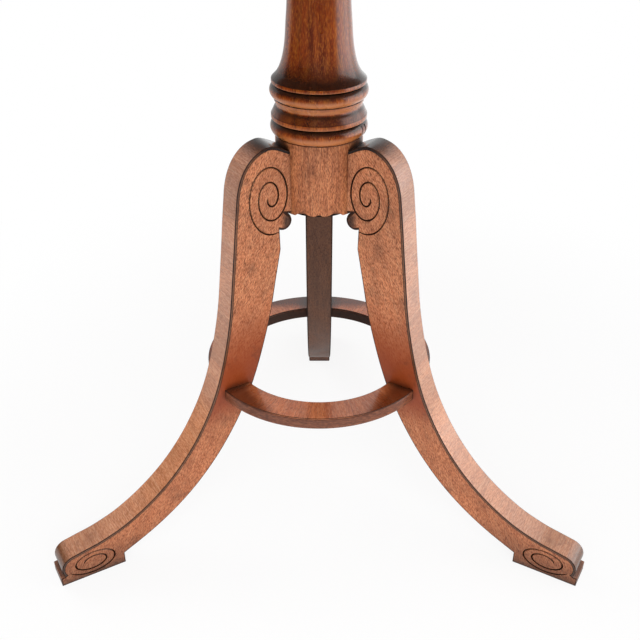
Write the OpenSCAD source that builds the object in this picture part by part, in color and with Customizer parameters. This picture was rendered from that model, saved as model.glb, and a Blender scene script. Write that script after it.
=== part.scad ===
// Drum table on a tripod pedestal, in millimetres, +Z up, standing on the floor at z = 0.
// The round top and its drum revolve on a steel spindle; four of the eight frieze sections
// are drawers, and the four between them are fixed dummy fronts.
// The legs stand at 90, 210 and 330 degrees, so that the front faces -Y between two legs.

/* [Whole table] */
// Height from the floor to the rim of the top
table_h = 750; // [735:1:780]
// Diameter of the top over its edge moulding
top_d = 760; // [740:2:820]

/* [Top] */
// Thickness of the top at its rim
top_t = 20; // [18:1:26]
// Width of the edge moulding
edge_w = 9; // [7:1:12]
// Width of the crossbanded rim round the leather
rim_w = 58; // [40:1:80]
// Thickness of the crossbanding on the top
rim_t = 2; // [1.5:0.1:3]
// Thickness of the leather inset
leather_t = 1.6; // [1:0.1:1.9]

/* [Drum] */
// Diameter of the drum over its drawer fronts
drum_d = 690; // [640:2:700]
// Thickness of the board under the drawers
floor_t = 18; // [15:1:22]
// Thickness of the board over the drawers
roof_t = 12; // [10:1:16]
// Clear height of the drawer openings
opening_h = 76; // [66:1:84]
// Thickness of the upright partitions
partition_t = 12; // [10:1:15]
// Width of the half-round moulding round the foot of the drum
foot_mould_w = 7; // [6:0.5:9]
// Width of the cove moulding under the top
cove_w = 9; // [7:0.5:9.5]
// Width of the flat fillets along the cove's two edges
cove_fillet = 3.5; // [2.5:0.1:4]

/* [Drawers] */
// Thickness of a drawer front, and of a dummy front
front_t = 20; // [16:1:24]
// Thickness of the drawer sides and back
side_t = 9; // [7:0.5:12]
// Thickness of the drawer bottom
bottom_t = 5; // [4:0.5:7]
// Height of the drawer bottom's groove above the lower edge of the sides
bottom_lift = 4; // [3:0.5:7]
// Play at each side of a drawer
side_play = 0.8; // [0.5:0.1:1.5]
// Play above and below a drawer
height_play = 0.4; // [0.3:0.1:1]
// Width of the cock bead round a front
bead_w = 3; // [2:0.5:4]
// How far the cock bead stands proud of a front
bead_proud = 1.5; // [0.5:0.1:2.5]
// Radius of a knob
knob_r = 10; // [8:0.5:12]
// Radius of the screw of a knob
knob_screw_r = 2.5; // [2:0.1:3]

/* [Column] */
// Radius of the column at its neck
neck_r = 27; // [24:0.5:30]
// Radius of the lower end of the column's flare
flare_r = 43; // [40:0.5:44]
// Radius of the two round collar beads
collar_r = 45.2; // [44:0.1:48]
// Height of the upper collar bead
upper_bead_h = 14; // [12:0.5:16]
// Height of the lower collar bead
lower_bead_h = 15.8; // [13:0.2:17]
// Height of the hollow between the beads
hollow_h = 14.4; // [13:0.2:18]
// Radius of the hollow between the beads at its narrowest
hollow_r = 39.6; // [37:0.2:41]
// Radius of the tenon that joins the column to the block
tenon_r = 14; // [12:0.5:15]
// Radius of the cap that the drum turns on
cap_r = 92; // [80:1:110]
// Thickness of the cap
cap_t = 17; // [15:1:22]

/* [Block] */
// Radius of the block that holds the legs
block_r = 41; // [39:0.5:43]
// Height of the block
block_h = 69; // [66:0.5:72]
// Depth of the scallops cut in the block's lower edge
scallop_d = 4; // [2:0.5:5]
// Thickness of the iron plate under the block
plate_t = 3; // [2:0.5:4]

/* [Legs] */
// Height of the crest of the leg's scroll head
leg_top = 421.5; // [415:0.5:428]
// Distance of the toe from the axis
toe_r = 306.5; // [290:0.5:330]
// Thickness of a leg
leg_t = 28.5; // [26:0.5:31]
// Depth of a leg below its scroll head
knee_depth = 50; // [47:0.5:52]
// Depth of a leg at its ankle
ankle_depth = 31; // [28:0.5:34]
// Thickness of the cross-grain facing on a leg's outer edge
facing_t = 2.5; // [1.5:0.1:3.5]
// Height of the plinth under a foot
plinth_h = 10; // [8:0.5:12]
// Distance of the plinth's heel from the axis
heel_r = 242; // [234:1:250]
// How far the plinth stands out past the toe
toe_ledge = 2.5; // [1:0.5:5]
// Width of the carved scroll on a leg's head
scroll_w = 49; // [42:0.5:50]
// Height of the carved scroll on a leg's head
scroll_h = 75; // [66:0.5:78]
// Length of the carved oval on a foot
foot_scroll_w = 53; // [46:0.5:54]
// Height of the carved oval on a foot
foot_scroll_h = 30.6; // [26:0.2:31]
// Width of the carved grooves
groove_w = 1.8; // [1.2:0.1:2.5]
// Depth of the carved grooves
groove_d = 1.3; // [0.8:0.1:2]

/* [Ring stretcher] */
// Height of the ring's upper face
ring_top = 176.7; // [160:0.1:200]
// Width of the ring
ring_w = 27.2; // [22:0.1:32]
// Thickness of the ring with its crossbanding
ring_t = 12.2; // [10:0.1:16]
// Thickness of the crossbanding on the ring
ring_band_t = 1.5; // [1:0.1:2]
// How far the ring's inner edge is set back from the legs' inner edges
ring_set = 3.2; // [2:0.5:9]

/* [Pivot] */
// Radius of the spindle
spindle_r = 9; // [7:0.5:10]
// Wall of the bush that turns on the spindle
bush_wall = 4; // [3:0.5:5]
// Radius of the bearing washer under the drum
washer_r = 45; // [35:1:55]
// Thickness of the bearing washer
washer_t = 2; // [1.5:0.1:3]

/* [Hidden] */
$fn = 96;
// Radial clearance of a running fit
run_fit = 0.05;
// Clearance of a glued or screwed seat
seat = 0.1;
// Clearance of faces that pass each other
pass = 0.3;

// Heights, from the floor up
collar_fillet = 4;
block_top = leg_top - 0.5;
block_foot = block_top - block_h;
lower_bead_top = block_top + lower_bead_h;
hollow_top = lower_bead_top + collar_fillet + hollow_h;
upper_bead_top = hollow_top + upper_bead_h;
flare_foot = upper_bead_top + 2.5;
top_foot = table_h - top_t;
roof_foot = top_foot - roof_t;
drum_floor = roof_foot - opening_h;
drum_foot = drum_floor - floor_t;
cap_top = drum_foot - washer_t - pass;
column_top = cap_top - cap_t;

// The drum, seen from above
top_r = top_d / 2;
drum_r = drum_d / 2;
rim_outer = top_r - edge_w;
leather_r = rim_outer - rim_w;
edge_nose_r = 6.5;
edge_bead_r = 3.4;
foot_round_r = 5.5;
foot_fillet_h = 3;
partition_mid = drum_r * sin(22.5);
tunnel_half = partition_mid - partition_t / 2;
well_half = partition_mid + partition_t / 2;

// One drawer, drawn along +X
drawer_half = tunnel_half - side_play;
drawer_foot = drum_floor + height_play;
drawer_head = roof_foot - height_play;
drawer_back = well_half + 3;
front_inner = drum_r - front_t;
side_drop = 4;
bottom_groove = 4;
bead_depth = 12;
stop_w = 30;
stop_h = 10;
stop_l = 12;

// The pivot
spindle_set = 45;
spindle_foot = column_top - spindle_set;
bush_r = spindle_r + bush_wall;
flange_r = bush_r + 9;
flange_t = 3;
nut_foot = drum_floor + flange_t + pass + 2;
nut_h = 13;
nut_r = spindle_r + 6;
spindle_top = nut_foot + nut_h + 3;

// The block's joints
housing_neck = 10;
housing_root = 16;
housing_depth = 17;
housing_reach = 6;
housing_h = 58;
kerf_w = 3;
kerf_h = 24;
tenon_foot = block_foot + 4;
head_tenon_r = spindle_r + 11;
plate_r = block_r - 9;
plate_screw_at = block_r - 15.5;

// The legs, in their own plane: distance from the axis, height
LEG_AT = [90, 210, 330];
GAP_AT = [270, 30, 150];
// The outer edge, from the block over the scroll head and down to the foot, in
// thousandths of the leg's reach past the block and of its height
LEG_OUTER = [
  [-12, 981], [26, 993], [60, 1000], [91, 997], [119, 989], [144, 976], [167, 957],
  [185, 932], [196, 905], [203, 870], [212, 821], [221, 766], [233, 698], [247, 622],
  [266, 554], [293, 482], [328, 413], [375, 348], [441, 280], [527, 215], [627, 161],
  [736, 119], [834, 96], [900, 87]
];
knee_knot = 11;
ankle_knot = 21;
knot_steps = 3;
nose_r = 15;
nose_z = 19;
nose_start = 78;
nose_end = -34;
lobe_r = 9;
lobe_in = 5;
lobe_drop = 6.5;
lobe_from = 300;
lobe_to = 128;
heel_h = 13;

// The carved scroll on a leg's head, and the flat one on its foot: each centre's distance
// from the block or the toe and from the crest or the floor, and the turns between angles
scroll_out = 18.3;
scroll_drop = 48.9;
scroll_from = 256;
scroll_to = 1080;
scroll_eye = 3.2;
foot_scroll_back = 31.9;
foot_scroll_rise = 18.7;
foot_scroll_from = -22;
foot_scroll_to = -712;
foot_scroll_eye = 9.5;
scroll_steps = 40;

// Half the scallops along the block's lower edge, outwards from the middle, in hundredths
// of their half width and of their depth
scallop_half = 25;
SCALLOP = [[0, 77], [16, 36], [36, 45], [56, 100], [70, 100], [88, 8], [100, -25]];

// The flare of the column from its neck down to its foot, in hundredths of the growth in
// radius and of the height
FLARE = [[0, 100], [6, 68], [14, 50], [22, 33], [34, 21], [50, 12], [72, 5], [100, 0]];
astragal_r = 4;
neck_top_flare = 6;
column_head_w = 10;
column_head_h = 5;
cap_step = 5;
cap_nose_r = 4.5;

// Screws
top_screw_r = 2.2;
top_screw_l = 22;
plate_screw_r = 2;
plate_screw_l = 18;
dowel_r = 3;
dowel_l = 30;

// Directions of the drawers, and of the dummy fronts between them
DRAWER_AT = [270, 0, 90, 180];
DUMMY_AT = [315, 45, 135, 225];

mahogany = [0.62, 0.34, 0.20];
facing_wood = [0.70, 0.47, 0.36];
inner_wood = [0.72, 0.56, 0.38];
hide = [0.10, 0.24, 0.16];
brass = [0.80, 0.62, 0.28];
steel = [0.62, 0.62, 0.64];
iron = [0.22, 0.21, 0.21];

// Curves

// A point of the smooth curve through a, b, c and d, a share s of the way from b to c
function between(a, b, c, d, s) =
  b + s / 2 * ((c - a) + s * ((2 * a - 5 * b + 4 * c - d) + s * (3 * (b - c) + d - a)));

// The smooth curve through all the points, with so many steps from each to the next
function curve(pts, steps) = [
  for (i = [0:len(pts) - 2], k = [0:steps - 1])
    between(pts[max(i - 1, 0)], pts[i], pts[i + 1], pts[min(i + 2, len(pts) - 1)], k / steps),
  pts[len(pts) - 1]
];

function arc(at, r, from, to, steps) = [
  for (k = [0:steps]) let (a = from + (to - from) * k / steps) at + r * [cos(a), sin(a)]
];

// The direction square to a path at its point i, to the right of the way it runs
function right_of(pts, i) =
  let (d = pts[min(i + 1, len(pts) - 1)] - pts[max(i - 1, 0)]) [d.y, -d.x] / norm(d);

function shifted(pts, by) = [for (i = [0:len(pts) - 1]) pts[i] + by * right_of(pts, i)];

function backwards(pts) = [for (i = [len(pts) - 1:-1:0]) pts[i]];

// An oval spiral that shrinks steadily from its half sizes to its eye
function oval_spiral(at, half, eye, from, to, steps) = [
  for (k = [0:steps])
    let (a = from + (to - from) * k / steps, s = 1 - k / steps * (1 - eye / half.x))
      at + s * [half.x * cos(a), half.y * sin(a)]
];

// The leg's outlines

leg_curve = curve([for (p = LEG_OUTER) [
  block_r + p.x / 1000 * (toe_r - block_r), p.y / 1000 * leg_top
]], knot_steps);
nose = arc([toe_r - nose_r, nose_z], nose_r, nose_start, nose_end, 14);
outer_edge = concat(leg_curve, nose);
core_edge = shifted(outer_edge, facing_t);

// How deep the leg is, a share s of the way from its knee to its ankle
function depth_at(s) = ankle_depth + (knee_depth - ankle_depth) * pow(1 - s, 1.35);

inner_edge = [
  for (i = [knee_knot * knot_steps:ankle_knot * knot_steps])
    let (s = (i / knot_steps - knee_knot) / (ankle_knot - knee_knot))
      leg_curve[i] + depth_at(s) * right_of(leg_curve, i)
];

// The distance of the leg's inner edge from the axis at a height
function inner_edge_at(z) =
  [for (i = [1:len(inner_edge) - 1])
    let (a = inner_edge[i - 1], b = inner_edge[i])
      if (a.y >= z && b.y < z) a.x + (b.x - a.x) * (a.y - z) / (a.y - b.y)][0];

// The sole and heel, then the inner edge upwards, the lobe of the scroll and the block's side
leg_rest = concat(
  [outer_edge[len(outer_edge) - 1]],
  [[toe_r + toe_ledge, plinth_h], [toe_r + toe_ledge, 0], [heel_r, 0], [heel_r, heel_h]],
  backwards(inner_edge),
  arc([block_r + lobe_in, block_foot - lobe_drop], lobe_r, lobe_from, lobe_to, 8),
  [[block_r - 4, block_foot]]
);

ring_inner = inner_edge_at(ring_top - ring_t / 2) + ring_set;
ring_outer = ring_inner + ring_w;
ring_foot = ring_top - ring_t;

// Helpers

module tube(outer, inner, from, to) {
  translate([0, 0, from]) difference() {
    cylinder(r = outer, h = to - from);
    translate([0, 0, -1]) cylinder(r = inner, h = to - from + 2);
  }
}

module rod(r, from, to) {
  translate([0, 0, from]) cylinder(r = r, h = to - from);
}

// A box from its lowest to its highest corner
module block_between(low, high) {
  translate(low) cube(high - low);
}

// A countersunk screw that points up, its head flush with z = 0
module wood_screw(shank_r, length) {
  cylinder(r1 = 2 * shank_r, r2 = shank_r, h = shank_r);
  cylinder(r = shank_r, h = length);
}

module wood_screw_hole(shank_r, length) {
  translate([0, 0, -1]) cylinder(r = 2 * shank_r + seat, h = 1.01);
  cylinder(r1 = 2 * shank_r + seat, r2 = shank_r + seat, h = shank_r);
  cylinder(r = shank_r + seat, h = length + 1);
}

// Pedestal

module column_outline() {
  neck_z = flare_foot + 0.75 * (column_top - flare_foot);
  upwards = [for (p = backwards(FLARE)) [
    neck_r + p.x / 100 * (flare_r - neck_r), flare_foot + p.y / 100 * (neck_z - flare_foot)
  ]];
  flare = curve(concat(upwards, [
    [neck_r + neck_top_flare / 4, neck_z + 0.4 * (column_top - neck_z)],
    [neck_r + neck_top_flare, column_top - column_head_h - 2]
  ]), 4);
  polygon(concat(
    [[0, block_top], [block_r, block_top], [block_r, lower_bead_top]],
    [[collar_r - 1, lower_bead_top], [collar_r - 1, lower_bead_top + collar_fillet]],
    curve([
      [collar_r - 1.4, lower_bead_top + collar_fillet],
      [hollow_r + 2, lower_bead_top + collar_fillet + 0.35 * hollow_h],
      [hollow_r, lower_bead_top + collar_fillet / 2 + 0.75 * hollow_h],
      [hollow_r + 1.6, hollow_top - collar_fillet / 2]
    ], 4),
    [[hollow_r + 1.6, hollow_top], [block_r, hollow_top], [block_r, upper_bead_top]],
    [[flare_r + 0.4, upper_bead_top + 0.4], [flare_r + 0.4, flare_foot]],
    flare,
    [[neck_r + column_head_w, column_top - column_head_h]],
    [[neck_r + column_head_w, column_top], [0, column_top]]
  ));
  for (bead = [[block_top, lower_bead_h], [hollow_top, upper_bead_h]])
    translate([collar_r - bead[1] / 2, bead[0] + bead[1] / 2]) circle(r = bead[1] / 2);
  translate([neck_r + 0.9 * astragal_r, column_top - column_head_h - 7]) circle(r = astragal_r);
}

module column() color(mahogany) difference() {
  union() {
    rotate_extrude() column_outline();
    rod(tenon_r, tenon_foot, block_top + 1);
    rod(head_tenon_r, column_top - 1, column_top + cap_t / 2);
  }
  rod(spindle_r + seat, spindle_foot, column_top + cap_t);
  block_between([-kerf_w / 2, -tenon_r - 1, 0], [kerf_w / 2, tenon_r + 1, tenon_foot + kerf_h]);
}

// The wedge that spreads the split tenon in the block
module column_wedge() color(inner_wood) intersection() {
  block_between([-kerf_w / 2 + seat, -tenon_r, tenon_foot],
    [kerf_w / 2 - seat, tenon_r, tenon_foot - 1 + kerf_h]);
  rod(tenon_r - seat, 0, block_top);
}

// The dovetail housing that a leg slides up into, drawn for a leg along +X
module housing(gap, foot, head) {
  neck = housing_neck / 2 + gap - 1;
  root = housing_root / 2 + gap;
  deep = block_r - housing_depth - gap;
  wide = block_r + housing_reach;
  translate([0, 0, foot]) linear_extrude(head - foot)
    polygon([[deep, -root], [wide, -neck], [wide, neck], [deep, root]]);
}

// One side's scallops in the lower edge: a hollow by each leg and a small notch between
module scallops() {
  half = [for (p = SCALLOP) [p.x / 100 * scallop_half, p.y / 100 * scallop_d]];
  outline = curve(concat(
    [for (p = backwards(half)) [-p.x, p.y]], [for (i = [1:len(half) - 1]) half[i]]
  ), 3);
  translate([0.75 * block_r, 0, block_foot]) rotate([90, 0, 90]) linear_extrude(0.3 * block_r)
    polygon(concat([[-scallop_half, -scallop_d]], outline, [[scallop_half, -scallop_d]]));
}

// The places of the screws under the block, one between each two legs
module plate_screw_places() {
  for (a = GAP_AT) rotate([0, 0, a])
    translate([plate_screw_at, 0, block_foot - plate_t]) children();
}

module leg_block() color(mahogany) difference() {
  rod(block_r, block_foot, block_top);
  rod(tenon_r + run_fit, block_foot - 1, block_top + 1);
  for (a = LEG_AT) rotate([0, 0, a]) housing(0, block_foot - 1, block_foot + housing_h);
  for (a = GAP_AT) rotate([0, 0, a]) scallops();
  plate_screw_places() wood_screw_hole(plate_screw_r, plate_screw_l);
}

module block_plate() color(iron) difference() {
  rod(plate_r, block_foot - plate_t, block_foot);
  rod(tenon_r - 4, block_foot - plate_t - 1, block_foot + 1);
  plate_screw_places() wood_screw_hole(plate_screw_r, plate_screw_l);
}

module block_plate_screws() color(steel)
  plate_screw_places() wood_screw(plate_screw_r, plate_screw_l);

// Legs, drawn along +X in the plane y = 0

module groove(pts) {
  half = groove_w / 2;
  path = concat(shifted(pts, half), backwards(shifted(pts, -half)));
  for (side = [-1, 1])
    translate([0, side * leg_t / 2, 0]) rotate([90, 0, 0])
      translate([0, 0, -groove_d]) linear_extrude(2 * groove_d) polygon(path);
}

module leg() difference() {
  union() {
    difference() {
      translate([0, leg_t / 2, 0]) rotate([90, 0, 0]) linear_extrude(leg_t)
        polygon(concat(core_edge, leg_rest));
      rod(block_r + seat, block_foot - seat, leg_top + 5);
    }
    housing(-seat, block_foot + seat, block_foot + housing_h - seat);
  }
  tube(ring_outer + seat, ring_inner - 20, ring_foot - seat, ring_top + seat);
  groove(oval_spiral([block_r + scroll_out, leg_top - scroll_drop], [scroll_w, scroll_h] / 2,
    scroll_eye, scroll_from, scroll_to, scroll_steps));
  groove(oval_spiral([toe_r - foot_scroll_back, foot_scroll_rise],
    [foot_scroll_w, foot_scroll_h] / 2, foot_scroll_eye, foot_scroll_from, foot_scroll_to,
    scroll_steps));
}

module leg_at(i) color(mahogany) rotate([0, 0, LEG_AT[i]]) leg();

// The cross-grain facing glued round the outer edge, from the block to the toe
module facing_at(i) color(facing_wood) rotate([0, 0, LEG_AT[i]]) difference() {
  translate([0, leg_t / 2, 0]) rotate([90, 0, 0]) linear_extrude(leg_t)
    polygon(concat(outer_edge, backwards(core_edge)));
  rod(block_r + seat, block_foot, leg_top + 5);
}

// Ring stretcher, in three arcs whose joints lie in the legs' notches

module stretcher_arc(from) color(mahogany) difference() {
  rotate([0, 0, from + 0.05]) rotate_extrude(angle = 119.9)
    translate([ring_inner, ring_foot]) square([ring_w, ring_t - ring_band_t]);
  stretcher_dowel_set(seat);
}

module stretcher_crossbanding() color(facing_wood)
  tube(ring_outer, ring_inner, ring_top - ring_band_t, ring_top);

module stretcher_dowel_set(gap) {
  for (a = LEG_AT) rotate([0, 0, a])
    translate([(ring_inner + ring_outer) / 2, 0, (ring_foot + ring_top - ring_band_t) / 2])
      rotate([90, 0, 0]) cylinder(r = dowel_r + gap, h = dowel_l + 2 * gap, center = true);
}

module stretcher_dowels() color(inner_wood) stretcher_dowel_set(0);

// Cap and pivot

module column_cap() color(mahogany) difference() {
  union() {
    rod(cap_r - cap_step, column_top + 0.5, cap_top);
    rod(cap_r, column_top + cap_step, cap_top - 3);
    translate([0, 0, column_top + cap_step]) rotate_extrude()
      translate([cap_r - cap_nose_r, 0]) circle(r = cap_nose_r);
  }
  rod(head_tenon_r + seat, column_top - 1, column_top + cap_t / 2 + seat);
  rod(spindle_r + seat, 0, cap_top + 1);
}

module bearing_washer() color(brass)
  tube(washer_r, spindle_r + run_fit, cap_top, cap_top + washer_t);

module pivot_spindle() color(steel) {
  rod(spindle_r, spindle_foot, spindle_top - 1.5);
  translate([0, 0, spindle_top - 1.5]) cylinder(r1 = spindle_r, r2 = spindle_r - 1.5, h = 1.5);
}

module pivot_washer() color(steel)
  tube(nut_r + 5, spindle_r + run_fit, nut_foot - 2, nut_foot);

module pivot_nut() color(steel) difference() {
  translate([0, 0, nut_foot]) cylinder(r = nut_r, h = nut_h, $fn = 6);
  rod(spindle_r + run_fit, nut_foot - 1, nut_foot + nut_h + 1);
}

module bearing_bush() color(brass) {
  tube(bush_r, spindle_r + run_fit, drum_foot, drum_floor + 0.01);
  tube(flange_r, spindle_r + run_fit, drum_floor, drum_floor + flange_t);
}

// Drum

module drum_floor_board() color(mahogany)
  tube(drum_r, bush_r + run_fit, drum_foot, drum_floor);

module drum_roof_board() color(mahogany) difference() {
  rod(drum_r, roof_foot, top_foot);
  top_screw_places() wood_screw_hole(top_screw_r, top_screw_l);
}

// Eight upright boards, two along each drawer, with their outer ends flush in the frieze
module partitions() color(mahogany) intersection() {
  rod(drum_r, drum_floor, roof_foot);
  for (a = DRAWER_AT, side = [-1, 1]) rotate([0, 0, a])
    translate([well_half, side * partition_mid - partition_t / 2, drum_floor])
      cube([drum_r - well_half, partition_t, opening_h]);
}

module corner_posts() color(inner_wood)
  for (a = DRAWER_AT) rotate([0, 0, a])
    block_between([tunnel_half, tunnel_half, drum_floor], [well_half, well_half, roof_foot]);

// A curved panel in the frieze: a ring from inner to outer, cut to a box
module frieze_panel(inner, outer, half, foot, head) {
  intersection() {
    tube(outer, inner, foot, head);
    block_between([drum_r / 2, -half, foot - 1], [drum_r + 10, half, head + 1]);
  }
}

// The dummy front fills the corner between two partitions
module dummy_panel(inner, outer, inset, foot, head) intersection() {
  tube(outer, inner, foot, head);
  rotate([0, 0, -45]) translate([well_half + inset, well_half + inset, foot - 1])
    cube([drum_r, drum_r, head - foot + 2]);
}

dummy_foot = drum_floor + seat;
dummy_head = roof_foot - seat;

module dummy_front(i) color(mahogany) rotate([0, 0, DUMMY_AT[i]]) difference() {
  dummy_panel(front_inner, drum_r, bead_w + seat, dummy_foot + bead_w, dummy_head - bead_w);
  knob_hole();
}

module dummy_beads() color(facing_wood)
  for (i = [0:3]) rotate([0, 0, DUMMY_AT[i]]) difference() {
    dummy_panel(drum_r - bead_depth, drum_r + bead_proud, seat, dummy_foot, dummy_head);
    dummy_panel(drum_r - bead_depth - 1, drum_r + 5, bead_w + seat, dummy_foot + bead_w,
      dummy_head - bead_w);
  }

module drawer_front(i) color(mahogany) rotate([0, 0, DRAWER_AT[i]]) difference() {
  frieze_panel(front_inner, drum_r, drawer_half - bead_w, drawer_foot + bead_w,
    drawer_head - bead_w);
  knob_hole();
}

module drawer_bead(i) color(facing_wood) rotate([0, 0, DRAWER_AT[i]]) difference() {
  frieze_panel(drum_r - bead_depth, drum_r + bead_proud, drawer_half, drawer_foot, drawer_head);
  frieze_panel(drum_r - bead_depth - 1, drum_r + 5, drawer_half - bead_w, drawer_foot + bead_w,
    drawer_head - bead_w);
}

// Two sides and a back, joined at the back's ends
module drawer_walls(i) color(inner_wood) rotate([0, 0, DRAWER_AT[i]]) difference() {
  intersection() {
    rod(front_inner - seat, drawer_foot, drawer_head - side_drop);
    union() {
      for (side = [-1, 1])
        translate([drawer_back, side * (drawer_half - side_t / 2) - side_t / 2, drawer_foot])
          cube([drum_r, side_t, opening_h]);
      translate([drawer_back, -drawer_half + side_t + seat, drawer_foot + bottom_lift + bottom_t])
        cube([side_t, 2 * (drawer_half - side_t - seat), opening_h]);
    }
  }
  drawer_bottom_plate(0);
}

// The bottom sits in a groove in each side and slides in under the back
module drawer_bottom_plate(gap) {
  half = drawer_half - side_t + bottom_groove - gap;
  low = drawer_foot + bottom_lift + gap;
  intersection() {
    rod(front_inner - 2 * seat, 0, table_h);
    block_between([drawer_back + gap, -half, low], [drum_r, half, low + bottom_t - 2 * gap]);
  }
}

module drawer_bottom(i) color(inner_wood) rotate([0, 0, DRAWER_AT[i]])
  drawer_bottom_plate(seat / 2);

// Knobs, turned in brass, along +X on the middle of a front
knob_z = (drum_floor + roof_foot) / 2;
knob_nut_t = 3;
knob_back = drum_r + pass;

module knob_hole()
  translate([front_inner - 5, 0, knob_z]) rotate([0, 90, 0])
    cylinder(r = knob_screw_r + seat, h = front_t + 10);

// The outside of a knob of 10 mm radius: its plate, its waist and its domed head
module knob_head() {
  cylinder(r = 10, h = 1.6);
  translate([0, 0, 1]) cylinder(r1 = 6.2, r2 = 4.2, h = 4);
  translate([0, 0, 4]) cylinder(r1 = 4.2, r2 = 7, h = 4.5);
  translate([0, 0, 12]) intersection() {
    translate([0, 0, -3.2]) sphere(r = 10);
    cylinder(r = 11, h = 9, center = true);
  }
}

module knob() {
  translate([0, 0, knob_z]) rotate([0, 90, 0]) {
    translate([0, 0, front_inner - knob_nut_t - 1.5])
      cylinder(r = knob_screw_r, h = front_t + knob_nut_t + 3);
    translate([0, 0, knob_back]) scale(knob_r / 10) knob_head();
    translate([0, 0, front_inner - knob_nut_t - pass])
      cylinder(r = 2 * knob_screw_r, h = knob_nut_t, $fn = 6);
  }
}

module drawer_knob(i) color(brass) rotate([0, 0, DRAWER_AT[i]]) knob();

module dummy_knobs() color(brass) for (a = DUMMY_AT) rotate([0, 0, a]) knob();

// Blocks on the floor board that a closed drawer's back comes up against
module drawer_stops() color(inner_wood)
  for (a = DRAWER_AT) rotate([0, 0, a])
    block_between([drawer_back - pass - stop_l, -stop_w / 2, drum_floor],
      [drawer_back - pass, stop_w / 2, drum_floor + stop_h]);

// Half-round moulding round the edge of the floor board
module foot_moulding() color(mahogany) {
  tube(drum_r + foot_mould_w - foot_fillet_h - 2, drum_r + seat, drum_foot,
    drum_foot + foot_fillet_h);
  rotate_extrude() intersection() {
    translate([drum_r + foot_mould_w - foot_round_r, drum_foot + foot_fillet_h + foot_round_r - 0.5])
      circle(r = foot_round_r);
    translate([drum_r + seat, drum_foot]) square([foot_mould_w, floor_t]);
  }
}

// Cove moulding in the corner under the top
module cove_moulding() color(mahogany) rotate_extrude() difference() {
  translate([drum_r + seat, top_foot - cove_w]) square([cove_w - seat, cove_w]);
  translate([drum_r + cove_w, top_foot - cove_w]) circle(r = cove_w - cove_fillet);
}

// Top

module top_board() color(mahogany) difference() {
  rod(rim_outer - seat, top_foot, table_h - rim_t);
  top_screw_places() wood_screw_hole(top_screw_r, top_screw_l);
}

// A round nose over a small bead, glued round the edge of the board
module top_edge_moulding() color(mahogany) rotate_extrude() intersection() {
  translate([rim_outer, top_foot]) square([edge_w, top_t]);
  union() {
    translate([rim_outer, top_foot]) square([edge_w - edge_nose_r, top_t]);
    translate([top_r - edge_nose_r, table_h - edge_nose_r]) circle(r = edge_nose_r);
    translate([top_r - edge_nose_r, top_foot + edge_bead_r]) circle(r = edge_bead_r);
  }
}

module top_crossbanding() color(facing_wood)
  tube(rim_outer, leather_r, table_h - rim_t, table_h);

module top_leather() color(hide)
  rod(leather_r - seat, table_h - rim_t, table_h - rim_t + leather_t);

// Screws that hold the top on the roof board: one over each drawer, four in the well
module top_screw_places() {
  for (a = DRAWER_AT) rotate([0, 0, a]) translate([0.72 * drum_r, 0, roof_foot]) children();
  for (a = DUMMY_AT) rotate([0, 0, a]) translate([0.35 * drum_r, 0, roof_foot]) children();
}

module top_screws() color(steel) top_screw_places() wood_screw(top_screw_r, top_screw_l);

column();
leg_block();
column_wedge();
block_plate();
block_plate_screws();
leg_at(0);  // leg_rear
leg_at(1);  // leg_front_left
leg_at(2);  // leg_front_right
facing_at(0);  // leg_facing_rear
facing_at(1);  // leg_facing_front_left
facing_at(2);  // leg_facing_front_right
stretcher_arc(LEG_AT[1]);  // stretcher_arc_front
stretcher_arc(LEG_AT[2]);  // stretcher_arc_right
stretcher_arc(LEG_AT[0]);  // stretcher_arc_left
stretcher_crossbanding();
stretcher_dowels();
column_cap();
bearing_washer();
pivot_spindle();
pivot_washer();
pivot_nut();
drum_floor_board();
bearing_bush();
partitions();
corner_posts();
drum_roof_board();
dummy_front(0);  // dummy_front_a
dummy_front(1);  // dummy_front_b
dummy_front(2);  // dummy_front_c
dummy_front(3);  // dummy_front_d
dummy_beads();
dummy_knobs();
drawer_stops();
foot_moulding();
cove_moulding();
top_board();
top_edge_moulding();
top_crossbanding();
top_leather();
top_screws();
drawer_front(0);  // drawer_front_a
drawer_bead(0);  // drawer_bead_a
drawer_walls(0);  // drawer_walls_a
drawer_bottom(0);  // drawer_bottom_a
drawer_knob(0);  // drawer_knob_a
drawer_front(1);  // drawer_front_b
drawer_bead(1);  // drawer_bead_b
drawer_walls(1);  // drawer_walls_b
drawer_bottom(1);  // drawer_bottom_b
drawer_knob(1);  // drawer_knob_b
drawer_front(2);  // drawer_front_c
drawer_bead(2);  // drawer_bead_c
drawer_walls(2);  // drawer_walls_c
drawer_bottom(2);  // drawer_bottom_c
drawer_knob(2);  // drawer_knob_c
drawer_front(3);  // drawer_front_d
drawer_bead(3);  // drawer_bead_d
drawer_walls(3);  // drawer_walls_d
drawer_bottom(3);  // drawer_bottom_d
drawer_knob(3);  // drawer_knob_d
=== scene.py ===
"""A drum table's looks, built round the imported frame.

A turned column stands in a round block between three carved sabre legs, with a crossbanded
ring between them. On the column a drum with four drawers and a leather top revolves.
Lengths are in metres, z = 0 is the floor, and the front faces -Y.
"""

import logging
import math
from abc import ABC, abstractmethod
from collections.abc import Callable, Sequence
from dataclasses import dataclass, field
from enum import Enum
from itertools import pairwise

import bmesh
import bpy
from mathutils import Matrix, Vector


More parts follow.
